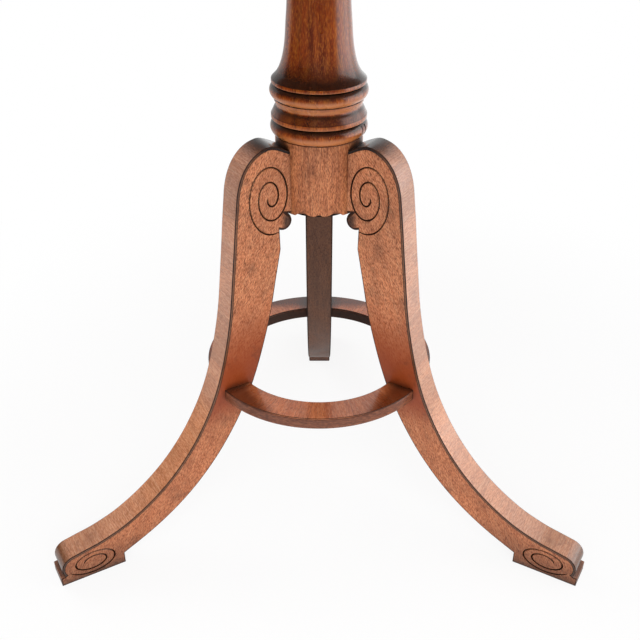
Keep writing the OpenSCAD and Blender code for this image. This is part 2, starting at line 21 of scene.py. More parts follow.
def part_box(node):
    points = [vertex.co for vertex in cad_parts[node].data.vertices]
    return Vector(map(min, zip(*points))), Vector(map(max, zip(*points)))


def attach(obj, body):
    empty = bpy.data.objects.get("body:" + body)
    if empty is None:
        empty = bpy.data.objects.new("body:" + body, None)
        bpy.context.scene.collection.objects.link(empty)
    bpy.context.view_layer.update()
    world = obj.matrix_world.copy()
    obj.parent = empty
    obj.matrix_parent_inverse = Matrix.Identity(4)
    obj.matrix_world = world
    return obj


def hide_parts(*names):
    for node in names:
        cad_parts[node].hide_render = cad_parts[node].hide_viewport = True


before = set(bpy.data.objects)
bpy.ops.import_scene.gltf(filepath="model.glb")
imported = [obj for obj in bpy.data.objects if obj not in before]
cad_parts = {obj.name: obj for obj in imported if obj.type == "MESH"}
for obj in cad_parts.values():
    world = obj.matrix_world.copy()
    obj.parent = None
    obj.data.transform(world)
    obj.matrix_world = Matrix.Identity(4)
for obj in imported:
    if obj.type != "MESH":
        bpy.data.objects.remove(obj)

LOG = logging.getLogger("drum_table")
MM = 0.001
# The attribute that holds the direction of the grain, as a place along and across it
GRAIN = "grain"
# The rounding of an edge whose bevel weight is 1
WIDEST = 10 * MM
# How close two corners lie that are one
TOUCH = 0.002 * MM
# The steepest edge, in degrees, that is shaded as round, and the steepest that counts as flat
ROUND_EDGE = 48
FLAT_EDGE = 0.4
# The gap left between parts that fit together
CLEAR = 0.1 * MM
# A mix node that mixes colours, and where its colour sockets lie among its others
COLOURS = {"data_type": "RGBA"}
MIX_A, MIX_B, MIX_OUT = 6, 7, 2
# Where the inputs of a mix node lie that mixes plain numbers, as it does unless it is told
FLOAT_A, FLOAT_B = 2, 3
# A map range node that starts and ends softly
EASED = {"interpolation_type": "SMOOTHSTEP"}

Point = tuple[float, float]
Socket = bpy.types.NodeSocket
Tree = bpy.types.NodeTree
Mesh = bpy.types.Mesh
Shape = bmesh.types.BMesh
GrainMap = Callable[[Vector, Vector], Vector]


class Slot(Enum):
    """The record's material slots."""

    MAHOGANY = "mahogany"
    CROSSBANDING = "crossbanding"
    DRAWER_WOOD = "drawer_wood"
    LEATHER = "leather"
    BRASS = "brass"
    STEEL = "steel"
    IRON = "iron"


class Turn(Enum):
    """Where the three legs stand, as degrees about the table's axis."""

    REAR = 90
    FRONT_LEFT = 210
    FRONT_RIGHT = 330


# Helpers for materials


def linear(colour: str) -> tuple[float, float, float, float]:
    """Turns an sRGB hex colour to linear.

    Args:
        colour: Six hex digits.

    Returns:
        Red, green and blue from 0 to 1 in linear light, and an alpha of 1.
    """
    shares = [int(colour[i : i + 2], 16) / 255 for i in (0, 2, 4)]
    red, green, blue = (
        s / 12.92 if s <= 0.04045 else ((s + 0.055) / 1.055) ** 2.4 for s in shares
    )
    return red, green, blue, 1.0


def add_node(
    tree: Tree,
    kind: str,
    settings: dict[str, object] | None = None,
    inputs: dict[str | int, object] | None = None,
) -> bpy.types.Node:
    """Adds one node with its settings and links.

    Args:
        tree: The node tree that it joins.
        kind: The node's Blender type.
        settings: Properties of the node and their values.
        inputs: A value, or a socket to link from, for each input by name or number.

    Returns:
        The new node.
    """
    node = tree.nodes.new(kind)
    for name, value in (settings or {}).items():
        setattr(node, name, value)
    for name, value in (inputs or {}).items():
        if isinstance(value, Socket):
            tree.links.new(value, node.inputs[name])
        else:
            node.inputs[name].default_value = value
    return node


def fresh_tree(name: str) -> tuple[bpy.types.Material, Tree]:
    """Makes an empty material.

    Args:
        name: The material's name.

    Returns:
        The material and its node tree.
    """
    material = bpy.data.materials.new(name)
    material.use_nodes = True
    material.node_tree.nodes.clear()
    return material, material.node_tree


@dataclass(frozen=True)
class Fade:
    """How something grows while a value runs from one number to another.

    Attributes:
        start: The value at which it starts.
        whole: The value at which it is whole.
        share: How much of it there is then, from 0 to 1.
        least: How much of it there is at the start and before.
    """

    start: float
    whole: float
    share: float = 1.0
    least: float = 0.0


def stain(
    tree: Tree, colour: Socket | Sequence[float], over: str, *places: tuple[Socket, Fade]
) -> Socket:
    """Lays one colour over another, more of it as values run through their fades.

    Args:
        tree: The material's nodes.
        colour: The colour underneath.
        over: The colour laid over it, as six hex digits.
        places: Each value and its fade. Where there are two, their shares are multiplied.

    Returns:
        The mixed colour.
    """
    mask = None
    for value, fade in places:
        part = add_node(
            tree,
            "ShaderNodeMapRange",
            EASED,
            {
                "Value": value,
                "From Min": fade.start,
                "From Max": fade.whole,
                "To Min": fade.least,
                "To Max": fade.share,
            },
        ).outputs[0]
        if mask is not None:
            part = add_node(
                tree, "ShaderNodeMath", {"operation": "MULTIPLY"}, {0: mask, 1: part}
            ).outputs[0]
        mask = part
    mixed = add_node(
        tree, "ShaderNodeMix", COLOURS, {0: mask, MIX_A: colour, MIX_B: linear(over)}
    )
    return mixed.outputs[MIX_OUT]


# Finishes


@dataclass(frozen=True)
class Finish(ABC):
    """A finish; each kind of it builds its own surface.

    Attributes:
        name: The material's name.
    """

    name: str

    @abstractmethod
    def surface(self, tree: Tree) -> dict[str | int, object]:
        """Adds the finish's patterns.

        Args:
            tree: The material's nodes.

        Returns:
            The inputs of its surface.
        """

    def material(self) -> bpy.types.Material:
        """Builds the finish the first time that it is asked for.

        Returns:
            The finish's material.
        """
        made = bpy.data.materials.get(self.name)
        if made:
            return made
        material, tree = fresh_tree(self.name)
        inputs = self.surface(tree)
        surface = add_node(tree, "ShaderNodeBsdfPrincipled", {}, inputs)
        add_node(tree, "ShaderNodeOutputMaterial", {}, {"Surface": surface.outputs[0]})
        LOG.info("finish %s", self.name)
        return material


@dataclass(frozen=True)
class Marks:
    """Marks of one kind in wood, drawn out along its fibres.

    Attributes:
        length: Length of a mark.
        width: Width of a mark.
        share: How strongly it changes the colour, from 0 to 1.
    """

    length: float
    width: float
    share: float = 1.0

    def drawn(self, tree: Tree, fibre: Socket, detail: float) -> Socket:
        """Draws the marks as noise of their size.

        Args:
            tree: The material's nodes.
            fibre: The grain coordinate, its first part along the fibres.
            detail: Octaves of finer noise.

        Returns:
            The noise's value.
        """
        scale = (1 / self.length, 1 / self.width, 1 / self.width)
        place = add_node(tree, "ShaderNodeMapping", {}, {"Vector": fibre, "Scale": scale})
        noise = add_node(
            tree,
            "ShaderNodeTexNoise",
            {},
            {"Vector": place.outputs[0], "Scale": 1.0, "Detail": detail, "Roughness": 0.55},
        )
        return noise.outputs["Fac"]


@dataclass(frozen=True)
class WearAndShade:
    """How a wood's colour changes with old polish and glue, darker toes and feet, and painted
    light and shade.

    Attributes:
        corners: Share of painted shade in corners, from 0 to 1.
        reach: How far that painted shade spreads from a corner.
        upward_shade: Painted shade on surfaces that face up, by how far up they face.
        axis: Painted shade near the table's axis, by distance from it.
        lobe_shadow: Painted shadow on the scrolls under the block, by distance from the axis.
        toes: Darker towards a toe's tip, by distance from the axis.
        edges: Dark glue at a facing's edges, by distance from its middle line.
        foot: Darker towards the floor, by height.
        ring_shade: Painted shade in orange-brown on the legs over the ring, by height.
        blotches: Share of brown in uneven patches of old polish, from 0 to 1.
        collar: Painted light bounced from the floor onto the undersides of turned beads, by
            height.
        legs: Painted shadow of the legs on the ring beside them, by distance out along a leg.
    """

    corners: float = 0.85
    reach: float = 5 * MM
    upward_shade: Fade | None = None
    axis: Fade | None = None
    lobe_shadow: Fade | None = None
    toes: Fade | None = None
    edges: Fade | None = None
    foot: Fade | None = None
    ring_shade: Fade | None = None
    blotches: float = 0.0
    collar: Fade | None = None
    legs: Fade | None = None


# Colours laid over wood: near-black for glue, darker toes and feet and painted shade; old
# brown polish; painted shade on the legs over the ring; painted light on the beads' undersides;
# and painted shadow of the legs on the ring
DARK_GLUE_AND_SHADE = "160B06"
BROWN_POLISH = "4A220E"
PAINTED_RING_SHADE = "8C3608"
PAINTED_BOUNCE_LIGHT = "C47A48"
LEG_SHADOW_ON_RING = "461602"
# Old brown polish: how many patches a metre holds, and the noise that one starts and ends at
PATCHES_PER_METRE = 45.0
PATCH_FADE = (0.5, 0.72)
# Painted shade in a corner, by how open the surface is: 1 on a flat one
CORNER_SHADE_FADE = (0.9, 0.35)
# How far down a bead's surface has to face to take painted light bounced from the floor
UNDERSIDE = Fade(0.3, -0.5, 0.85)
# Where the painted shade on the legs grows upwards under the ring, from the little that is left
# below
UNDER_RING = Fade(130 * MM, 165 * MM, 1.0, 0.2)
# Heights between which painted shadow gathers under the block, whose foot is at 352 mm
UNDER_BLOCK = Fade(358 * MM, 349 * MM)


@dataclass(frozen=True)
class Wood(Finish):
    """Wood with fibres, figure and pores under polish, with shade painted into its corners.

    Attributes:
        deep: Colour of the darker figure.
        mid: Colour of most of the wood.
        pale: Colour of the bright streaks and gleams.
        pore: Colour of the filled pores and joints.
        figure: The broad dark figure.
        streak: The narrow bright streaks.
        fleck: The pores, short dark dashes.
        patch: The patches that differ a little in brightness and gloss.
        gleam: How bright the fibres shine between the pores, from 0 to 1.
        roughness: Roughness of the surface under the polish.
        polish: Weight of the clear polish over it.
        polish_roughness: Roughness of that polish.
        joint_every: Length of one strip of a cross-grain band, or 0 for solid wood.
        joint: Width of the joint between two strips.
        slant: How far the strips lean, as a share of their own length.
        tones: How far the strips differ in brightness, up and down.
        relief: Depth of the pores and streaks in the surface.
        wear: Where it has changed, and where light and shade are painted on it.
    """

    deep: str
    mid: str
    pale: str
    pore: str
    figure: Marks = Marks(160 * MM, 12 * MM, 0.5)
    streak: Marks = Marks(70 * MM, 2.2 * MM, 0.3)
    fleck: Marks = Marks(3 * MM, 0.9 * MM, 0.5)
    patch: Marks = Marks(50 * MM, 35 * MM)
    gleam: float = 0.4
    roughness: float = 0.45
    polish: float = 0.5
    polish_roughness: float = 0.2
    joint_every: float = 0.0
    joint: float = 0.5 * MM
    slant: float = 0.12
    tones: float = 0.12
    relief: float = 0.3 * MM
    wear: WearAndShade = WearAndShade()

    def strips(self, tree: Tree, fibre: Socket) -> tuple[Socket, Socket, Socket]:
        """Splits a cross-grain band into strips of veneer.

        Args:
            tree: The material's nodes.
            fibre: The grain coordinate, its second part along the band.

        Returns:
            The grain coordinate shifted for each strip, a value from 0 to 1 for each strip,
            and the place within the strip, from 0 to 1.
        """
        parts = add_node(tree, "ShaderNodeSeparateXYZ", {}, {"Vector": fibre})
        leaning = add_node(
            tree,
            "ShaderNodeMath",
            {"operation": "MULTIPLY_ADD"},
            {0: parts.outputs["X"], 1: self.slant, 2: parts.outputs["Y"]},
        )
        along = add_node(
            tree,
            "ShaderNodeMath",
            {"operation": "DIVIDE"},
            {0: leaning.outputs[0], 1: self.joint_every},
        ).outputs[0]
        number = add_node(tree, "ShaderNodeMath", {"operation": "FLOOR"}, {0: along})
        chance = add_node(
            tree,
            "ShaderNodeTexWhiteNoise",
            {"noise_dimensions": "1D"},
            {"W": number.outputs[0]},
        )
        shift = add_node(
            tree,
            "ShaderNodeVectorMath",
            {"operation": "ADD"},
            {0: fibre, 1: chance.outputs["Color"]},
        )
        within = add_node(tree, "ShaderNodeMath", {"operation": "FRACT"}, {0: along})
        return shift.outputs[0], chance.outputs["Value"], within.outputs[0]

    def beside_legs(self, tree: Tree, flat: Socket) -> Socket:
        """Measures how far out along the nearest leg a place lies.

        Args:
            tree: The material's nodes.
            flat: The place, with no height.

        Returns:
            The distance.
        """
        nearest = 0.0
        for turn in Turn:
            angle = math.radians(turn.value)
            along = add_node(
                tree,
                "ShaderNodeVectorMath",
                {"operation": "DOT_PRODUCT"},
                {0: flat, 1: (math.cos(angle), math.sin(angle), 0)},
            ).outputs["Value"]
            nearest = add_node(
                tree, "ShaderNodeMath", {"operation": "MAXIMUM"}, {0: nearest, 1: along}
            ).outputs[0]
        return nearest

    def dirtied_and_shaded(
        self, tree: Tree, colour: Socket, height: Socket, out: Socket, up: Socket
    ) -> Socket:
        """Paints shade in corners, on upward faces and near the axis, and shadow under the block;
        darkens toes and feet.

        Args:
            tree: The material's nodes.
            colour: The colour of the wood.
            height: The place's height.
            out: Its distance from the table's axis.
            up: How far up its surface faces.

        Returns:
            The darkened colour.
        """
        wear = self.wear
        # Painted shade in corners: darker where less of the room is open to the surface
        openness = add_node(
            tree, "ShaderNodeAmbientOcclusion", {"samples": 8}, {"Distance": wear.reach}
        ).outputs["AO"]
        colour = stain(tree, colour, DARK_GLUE_AND_SHADE, (openness, Fade(*CORNER_SHADE_FADE, wear.corners)))
        # Painted shadow on the lobes under the block
        if wear.lobe_shadow:
            colour = stain(tree, colour, DARK_GLUE_AND_SHADE, (out, wear.lobe_shadow), (height, UNDER_BLOCK))
        # Painted shade on upward faces and near the axis; the toes and feet darker
        for value, fade in (
            (up, wear.upward_shade), (out, wear.axis), (out, wear.toes), (height, wear.foot)
        ):
            if fade:
                colour = stain(tree, colour, DARK_GLUE_AND_SHADE, (value, fade))
        return colour

    def worn(self, tree: Tree, colour: Socket, fibre: Socket) -> Socket:
        """Changes a colour with old polish and glue, and paints light and shade on it.

        Args:
            tree: The material's nodes.
            colour: The clean wood's colour.
            fibre: The grain coordinate, its first part along the fibres.

        Returns:
            The changed colour.
        """
        wear = self.wear
        place = add_node(tree, "ShaderNodeTexCoord").outputs["Object"]
        height = add_node(tree, "ShaderNodeSeparateXYZ", {}, {"Vector": place}).outputs["Z"]
        normal = add_node(tree, "ShaderNodeNewGeometry").outputs["Normal"]
        up = add_node(tree, "ShaderNodeSeparateXYZ", {}, {"Vector": normal}).outputs["Z"]
        flat = add_node(
            tree, "ShaderNodeVectorMath", {"operation": "MULTIPLY"}, {0: place, 1: (1, 1, 0)}
        ).outputs[0]
        out = add_node(
            tree, "ShaderNodeVectorMath", {"operation": "LENGTH"}, {0: flat}
        ).outputs["Value"]
        # Painted light bounced from the floor onto the beads' undersides
        if wear.collar:
            colour = stain(tree, colour, PAINTED_BOUNCE_LIGHT, (height, wear.collar), (up, UNDERSIDE))
        # Painted shadow of the legs on the ring beside them
        if wear.legs:
            along = self.beside_legs(tree, flat)
            colour = stain(tree, colour, LEG_SHADOW_ON_RING, (along, wear.legs))
        # Painted shade on the legs over the ring
        if wear.ring_shade:
            ring_shade = (height, wear.ring_shade)
            colour = stain(tree, colour, PAINTED_RING_SHADE, ring_shade, (height, UNDER_RING))
        if wear.blotches:
            uneven = add_node(
                tree,
                "ShaderNodeTexNoise",
                {},
                {"Vector": place, "Scale": PATCHES_PER_METRE, "Detail": 4.0, "Roughness": 0.7},
            ).outputs["Fac"]
            patches = (uneven, Fade(*PATCH_FADE, wear.blotches))
            colour = stain(tree, colour, BROWN_POLISH, patches)
        if wear.edges:
            across = add_node(tree, "ShaderNodeSeparateXYZ", {}, {"Vector": fibre})
            aside = add_node(
                tree, "ShaderNodeMath", {"operation": "ABSOLUTE"}, {0: across.outputs["X"]}
            ).outputs[0]
            colour = stain(tree, colour, DARK_GLUE_AND_SHADE, (aside, wear.edges))
        return self.dirtied_and_shaded(tree, colour, height, out, up)

    def surface(self, tree: Tree) -> dict[str | int, object]:
        """Adds the wood's marks and wear, and its painted light and shade.

        Args:
            tree: The material's nodes.

        Returns:
            The inputs of its surface.
        """
        whole = fibre = add_node(
            tree, "ShaderNodeAttribute", {"attribute_name": GRAIN}
        ).outputs["Vector"]
        if self.joint_every:
            fibre, tone, within = self.strips(tree, fibre)
        figure = self.figure.drawn(tree, fibre, 3)
        streak = self.streak.drawn(tree, fibre, 2)
        fleck = self.fleck.drawn(tree, fibre, 1)
        patch = self.patch.drawn(tree, fibre, 2)
        # A noise stays near its middle of 0.5, so each mark starts and is whole about there
        broad = (figure, Fade(0.4, 0.64, self.figure.share))
        narrow = (streak, Fade(0.46, 0.7, self.streak.share))
        between = (fleck, Fade(0.48, 0.34, self.gleam))
        colour = stain(tree, linear(self.mid), self.deep, broad)
        colour = stain(tree, colour, self.pale, narrow)
        colour = stain(tree, colour, self.pale, between)
        patchy = {"Value": patch, "From Min": 0.3, "From Max": 0.7}
        shade = add_node(
            tree, "ShaderNodeMapRange", EASED, patchy | {"To Min": 0.88, "To Max": 1.08}
        ).outputs[0]
        if self.joint_every:
            toned = add_node(
                tree,
                "ShaderNodeMapRange",
                EASED,
                {"Value": tone, "To Min": 1 - self.tones, "To Max": 1 + self.tones},
            )
            shade = add_node(
                tree, "ShaderNodeMath", {"operation": "MULTIPLY"}, {0: shade, 1: toned.outputs[0]}
            ).outputs[0]
        grey = add_node(
            tree, "ShaderNodeCombineColor", {}, {"Red": shade, "Green": shade, "Blue": shade}
        )
        colour = add_node(
            tree,
            "ShaderNodeMix",
            COLOURS | {"blend_type": "MULTIPLY"},
            {0: 1.0, MIX_A: colour, MIX_B: grey.outputs[0]},
        ).outputs[MIX_OUT]
        # Real pores are about 0.2 mm wide: they are drawn wider, so that they show
        pores = add_node(
            tree,
            "ShaderNodeMapRange",
            EASED,
            {"Value": fleck, "From Min": 0.5, "From Max": 0.64, "To Max": self.fleck.share},
        ).outputs[0]
        colour = add_node(
            tree,
            "ShaderNodeMix",
            COLOURS,
            {0: pores, MIX_A: colour, MIX_B: linear(self.pore)},
        ).outputs[MIX_OUT]
        if self.joint_every:
            joint = (within, Fade(self.joint / self.joint_every, 0))
            colour = stain(tree, colour, self.pore, joint)
        height = add_node(
            tree, "ShaderNodeMath", {"operation": "SUBTRACT"}, {0: streak, 1: pores}
        )
        bump = add_node(
            tree,
            "ShaderNodeBump",
            {},
            {"Height": height.outputs[0], "Strength": 0.25, "Distance": self.relief},
        )
        smooth, dull = self.roughness - 0.06, self.roughness + 0.08
        rough = add_node(
            tree, "ShaderNodeMapRange", EASED, patchy | {"To Min": smooth, "To Max": dull}
        )
        # Polish lies over the wood as a clear, smooth coat, so its reflections stay sharp
        return {
            "Base Color": self.worn(tree, colour, whole),
            "Roughness": rough.outputs[0],
            "Normal": bump.outputs[0],
            "IOR": 1.5,
            "Coat Weight": self.polish,
            "Coat Roughness": self.polish_roughness,
        }


@dataclass(frozen=True)
class Hide(Finish):
    """Dyed and glazed leather: a fine pebbled grain, worn paler where hands rest.

    Attributes:
        dye: The leather's colour.
        worn: Its colour where the dye has rubbed thin.
        pebble: Size of the grain.
        relief: Depth of the grain.
        patches_per_metre: How many patches of thin dye a metre holds.
        glazed: Roughness of the glazed leather.
        rubbed: Roughness where it is worn.
    """

    dye: str
    worn: str
    pebble: float = 1.6 * MM
    relief: float = 0.15 * MM
    patches_per_metre: float = 9.0
    glazed: float = 0.38
    rubbed: float = 0.62

    def surface(self, tree: Tree) -> dict[str | int, object]:
        """Adds the leather's grain and wear.

        Args:
            tree: The material's nodes.

        Returns:
            The inputs of its surface.
        """
        place = add_node(tree, "ShaderNodeTexCoord").outputs["Object"]
        pebbles = add_node(
            tree,
            "ShaderNodeTexVoronoi",
            {"feature": "SMOOTH_F1"},
            {"Vector": place, "Scale": 1 / self.pebble, "Smoothness": 0.6},
        )
        thin = add_node(
            tree,
            "ShaderNodeTexNoise",
            {},
            {
                "Vector": place,
                "Scale": self.patches_per_metre,
                "Detail": 6.0,
                "Roughness": 0.6,
            },
        ).outputs["Fac"]
        bump = add_node(
            tree,
            "ShaderNodeBump",
            {},
            {"Height": pebbles.outputs["Distance"], "Strength": 0.5, "Distance": self.relief},
        )
        rough = add_node(
            tree,
            "ShaderNodeMapRange",
            {},
            {"Value": thin, "To Min": self.glazed, "To Max": self.rubbed},
        )
        return {
            "Base Color": stain(tree, linear(self.dye), self.worn, (thin, Fade(0.42, 0.72))),
            "Roughness": rough.outputs[0],
            "Normal": bump.outputs[0],
        }


@dataclass(frozen=True)
class Metal(Finish):
    """Metal with a tarnish that dulls and darkens it in patches.

    Attributes:
        clean: Colour of the bright metal.
        dull: Colour of the tarnish.
        metallic: How metallic the surface is, under 1 where paint or oxide covers it.
        roughness: Roughness of the bright metal.
        patch: Size of the patches of tarnish.
    """

    clean: str
    dull: str
    metallic: float = 1.0
    roughness: float = 0.25
    patch: float = 12 * MM

    def surface(self, tree: Tree) -> dict[str | int, object]:
        """Adds the tarnish.

        Args:
            tree: The material's nodes.

        Returns:
            The inputs of its surface.
        """
        place = add_node(tree, "ShaderNodeTexCoord").outputs["Object"]
        tarnish = add_node(
            tree,
            "ShaderNodeTexNoise",
            {},
            {"Vector": place, "Scale": 1 / self.patch, "Detail": 5.0, "Roughness": 0.65},
        ).outputs["Fac"]
        bright, dulled = self.roughness - 0.08, self.roughness + 0.15
        rough = add_node(
            tree,
            "ShaderNodeMapRange",
            {},
            {"Value": tarnish, "To Min": bright, "To Max": dulled},
        )
        return {
            "Base Color": stain(tree, linear(self.clean), self.dull, (tarnish, Fade(0.4, 0.7))),
            "Metallic": self.metallic,
            "Roughness": rough.outputs[0],
        }


# Solid mahogany, sawn, scraped and French polished: orange-brown with short dark pores
LEG_WOOD = Wood(
    "mahogany_leg", deep="A65C34", mid="C4764A", pale="E6AA7C", pore="6E3418",
    figure=Marks(120 * MM, 12 * MM, 0.4), streak=Marks(40 * MM, 2 * MM, 0.25),
    fleck=Marks(3 * MM, 0.65 * MM, 0.85), polish=0.4,
    # Painted shade in corners and over the ring, painted shadow on the lobes, darker feet
    wear=WearAndShade(
        corners=0.9, reach=15 * MM, blotches=0.45, foot=Fade(54 * MM, 0, 0.55),
        ring_shade=Fade(290 * MM, 190 * MM, 0.92), lobe_shadow=Fade(53 * MM, 46 * MM, 0.85),
    ),
)
# The inner edges, which the polisher's rubber never reached: brown, dull and dirty, and darker
# still as painted shade, for they lie in shade under the table
INNER_WOOD_AND_SHADE = Wood(
    "mahogany_unpolished_and_painted_shade", deep="50301F", mid="6A422B", pale="80563B", pore="301A10",
    gleam=0.2, roughness=0.55, polish=0.15, polish_roughness=0.35,
)
# The same wood turned and polished to a gloss: deep red-brown with ribbons of orange
COLUMN_WOOD = Wood(
    "mahogany_turned", deep="6A2402", mid="983E08", pale="CA7828", pore="401200",
    figure=Marks(260 * MM, 7 * MM, 0.9), streak=Marks(120 * MM, 6 * MM, 0.3),
    fleck=Marks(4.5 * MM, 0.8 * MM, 0.35), gleam=0.48, roughness=0.24, polish=0.7,
    polish_roughness=0.14,
    # Painted shade on its upward faces, and painted light from the floor on its beads' undersides
    wear=WearAndShade(
        upward_shade=Fade(0.05, 0.65, 0.9), blotches=0.2, collar=Fade(472 * MM, 468 * MM)
    ),
)
# The block's straight upright grain, with pale and dark streaks
BLOCK_WOOD = Wood(
    "mahogany_block", deep="904824", mid="BC6E40", pale="E09E6C", pore="5E2A12",
    figure=Marks(40 * MM, 2.6 * MM, 0.8), streak=Marks(30 * MM, 1.6 * MM, 0.3),
    fleck=Marks(3 * MM, 0.7 * MM, 0.7), polish=0.3, polish_roughness=0.3,
    # Painted shade that reaches far from its corners
    wear=WearAndShade(corners=0.95, reach=11 * MM, blotches=0.3),
)
# Cross-cut veneer glued round the legs' outer edges, in short strips
FACING_WOOD = Wood(
    "mahogany_facing", deep="A26442", mid="C07C54", pale="DCA882", pore="7E482C",
    figure=Marks(90 * MM, 9 * MM, 0.4), streak=Marks(60 * MM, 1.4 * MM, 0.35),
    fleck=Marks(4 * MM, 0.8 * MM, 0.4), gleam=0.3, roughness=0.2, polish=1.0,
    polish_roughness=0.14, joint_every=52 * MM,
    # Painted shade near the axis; the toes and feet darker; dark glue at the edges
    wear=WearAndShade(
        blotches=0.25, axis=Fade(81 * MM, 63 * MM, 0.97), foot=Fade(50 * MM, 0, 0.55),
        edges=Fade(13.2 * MM, 14 * MM, 0.7), toes=Fade(292 * MM, 304 * MM, 0.6),
    ),
)
# Cross-cut veneer round the rim of the top, its fibres pointing to the axis
BAND_WOOD = Wood(
    "mahogany_crossbanding", deep="742E12", mid="9E4A22", pale="C88458", pore="50200A",
    figure=Marks(90 * MM, 6 * MM, 0.6), streak=Marks(60 * MM, 1.4 * MM, 0.4),
    fleck=Marks(4 * MM, 0.8 * MM, 0.4), gleam=0.3, tones=0.2, roughness=0.26, polish=1.0,
    polish_roughness=0.12, joint_every=40 * MM, wear=WearAndShade(blotches=0.25),
)
# The same veneer on the ring: pale between the legs, with painted shadow of the legs beside
# them in dark red-brown, and painted shade that reaches far from them
RING_WOOD = Wood(
    "mahogany_ring", deep="943E16", mid="CE7644", pale="ECB08C", pore="6A2C12",
    figure=Marks(90 * MM, 9 * MM, 0.45), streak=Marks(60 * MM, 2.4 * MM, 0.2),
    fleck=Marks(4 * MM, 0.8 * MM, 0.4), gleam=0.2, tones=0.25, roughness=0.26, polish=1.0,
    polish_roughness=0.12, joint_every=40 * MM,
    wear=WearAndShade(reach=20 * MM, blotches=0.25, legs=Fade(85 * MM, 103 * MM, 0.85)),
)
# The ring's outer edge and the drum's mouldings
MOULDING_WOOD = Wood(
    "mahogany_moulding", deep="5A2C1A", mid="784026", pale="9C6444", pore="3A1C10",
    polish=0.6,
)
# Figured veneer on the drum's fronts: broad flames of red-brown under a full polish
FRONT_WOOD = Wood(
    "mahogany_front", deep="6E2E0E", mid="9E511C", pale="BE7432", pore="45190A",
    figure=Marks(180 * MM, 16 * MM, 0.8), streak=Marks(80 * MM, 3 * MM, 0.4),
    roughness=0.4, polish=1.0, polish_roughness=0.12,
)
# Nearly black: old polish and wax along arrises and in carved lines, and painted shade there,
# in cracks, on the lobes' roundings and on the ring's inner side
WAX_AND_SHADE_WOOD = Wood(
    "mahogany_old_wax_and_painted_shade", deep="28140B", mid="381D10", pale="4C2A18", pore="1C0E08",
    gleam=0.1, roughness=0.7, polish=0.0,
)
# Bare quarter-sawn oak inside the drawers, pale brown and dry
LINING_WOOD = Wood(
    "oak_lining", deep="8F6C43", mid="B08C5E", pale="C9A97C", pore="6B4A2A",
    figure=Marks(200 * MM, 9 * MM, 0.6), fleck=Marks(9 * MM, 1.1 * MM, 0.5), gleam=0.2,
    roughness=0.65, polish=0.0, wear=WearAndShade(corners=0.6),
)
# Goatskin dyed bottle green
GREEN_HIDE = Hide("leather_green", dye="16301F", worn="2C4A32")
# Gold leaf pressed into the leather
GILT = Metal("gold_leaf", clean="D9A441", dull="9A6E2C", roughness=0.32, patch=20 * MM)
# Turned and lacquered brass, browned where hands don't reach
BRASS = Metal("brass_aged", clean="C99A4B", dull="7A5626", roughness=0.26)
# Turned steel with a film of oil
STEEL = Metal("steel_turned", clean="A9AAAC", dull="6E6A66", roughness=0.3)
# Forged iron, blackened
IRON = Metal("iron_black", clean="3A3735", dull="2A211C", metallic=0.8, roughness=0.55)


# Where the fibres run


def straight_grain(along: Sequence[float], shift: float = 0.0) -> GrainMap:
    """Gives grain that runs one way through a whole piece.

    Args:
        along: The direction of the fibres.
        shift: How far the pattern is moved, so that like pieces differ.

    Returns:
        The map from a place to its grain coordinate.
    """
    fibres = Vector(along).normalized()
    across = fibres.orthogonal().normalized()
    third = fibres.cross(across)

    def coordinate(corner: Vector, centre: Vector) -> Vector:
        """Measures a corner along and across the fibres."""
        return Vector(
            (corner.dot(fibres) + shift, corner.dot(across) + shift, corner.dot(third))
        )

    return coordinate


# Fibres that stand upright, and fibres that lie from left to right
UPRIGHT = straight_grain((0, 0, 1))
SIDEWAYS = straight_grain((1, 0, 0))


def angle_near(corner: Vector, centre: Vector) -> float:
    """Gives a corner's angle about the axis, without a jump inside one face.

    Args:
        corner: The corner.
        centre: The centre of the corner's face.

    Returns:
        The angle in radians.
    """
    middle = math.atan2(centre.y, centre.x)
    turn = math.atan2(corner.y, corner.x) - middle
    return middle + math.remainder(turn, math.tau)


def radial_grain(radius: float) -> GrainMap:
    """Gives cross-grain round a circle: the fibres point to the axis.

    Args:
        radius: The radius at which lengths round the circle are true.

    Returns:
        The map from a place to its grain coordinate.
    """

    def coordinate(corner: Vector, centre: Vector) -> Vector:
        """Measures a corner outwards from the axis and round it."""
        out = math.hypot(corner.x, corner.y)
        return Vector((out, angle_near(corner, centre) * radius, corner.z))

    return coordinate


def hoop_grain(radius: float) -> GrainMap:
    """Gives grain that runs round a circle.

    Args:
        radius: The radius at which lengths round the circle are true.

    Returns:
        The map from a place to its grain coordinate.
    """

    def coordinate(corner: Vector, centre: Vector) -> Vector:
        """Measures a corner round the axis, and its height."""
        out = math.hypot(corner.x, corner.y)
        return Vector((angle_near(corner, centre) * radius, corner.z, out))

    return coordinate


def cross_grain(path: Sequence[Vector]) -> GrainMap:
    """Gives cross-grain along a bent strip that lies in the plane y = 0.

    Args:
        path: The strip's line, as points in x and z.

    Returns:
        The map from a place to its grain coordinate, its second part along the strip.
    """
    lengths = [0.0]
    for start, end in pairwise(path):
        lengths.append(lengths[-1] + (end - start).length)

    def coordinate(corner: Vector, centre: Vector) -> Vector:
        """Measures a corner across the strip and along its path.

        Args:
            corner: The corner.
            centre: The centre of its face; not used.

        Returns:
            The grain coordinate.
        """
        spot = Vector((corner.x, corner.z))
        best = (math.inf, 0.0)
        for i, (start, end) in enumerate(pairwise(path)):
            step = end - start
            share = min(max((spot - start).dot(step) / step.length_squared, 0.0), 1.0)
            gap = (start + share * step - spot).length
            best = min(best, (gap, lengths[i] + share * step.length))
        return Vector((corner.y, best[1], best[0]))

    return coordinate


# Outlines


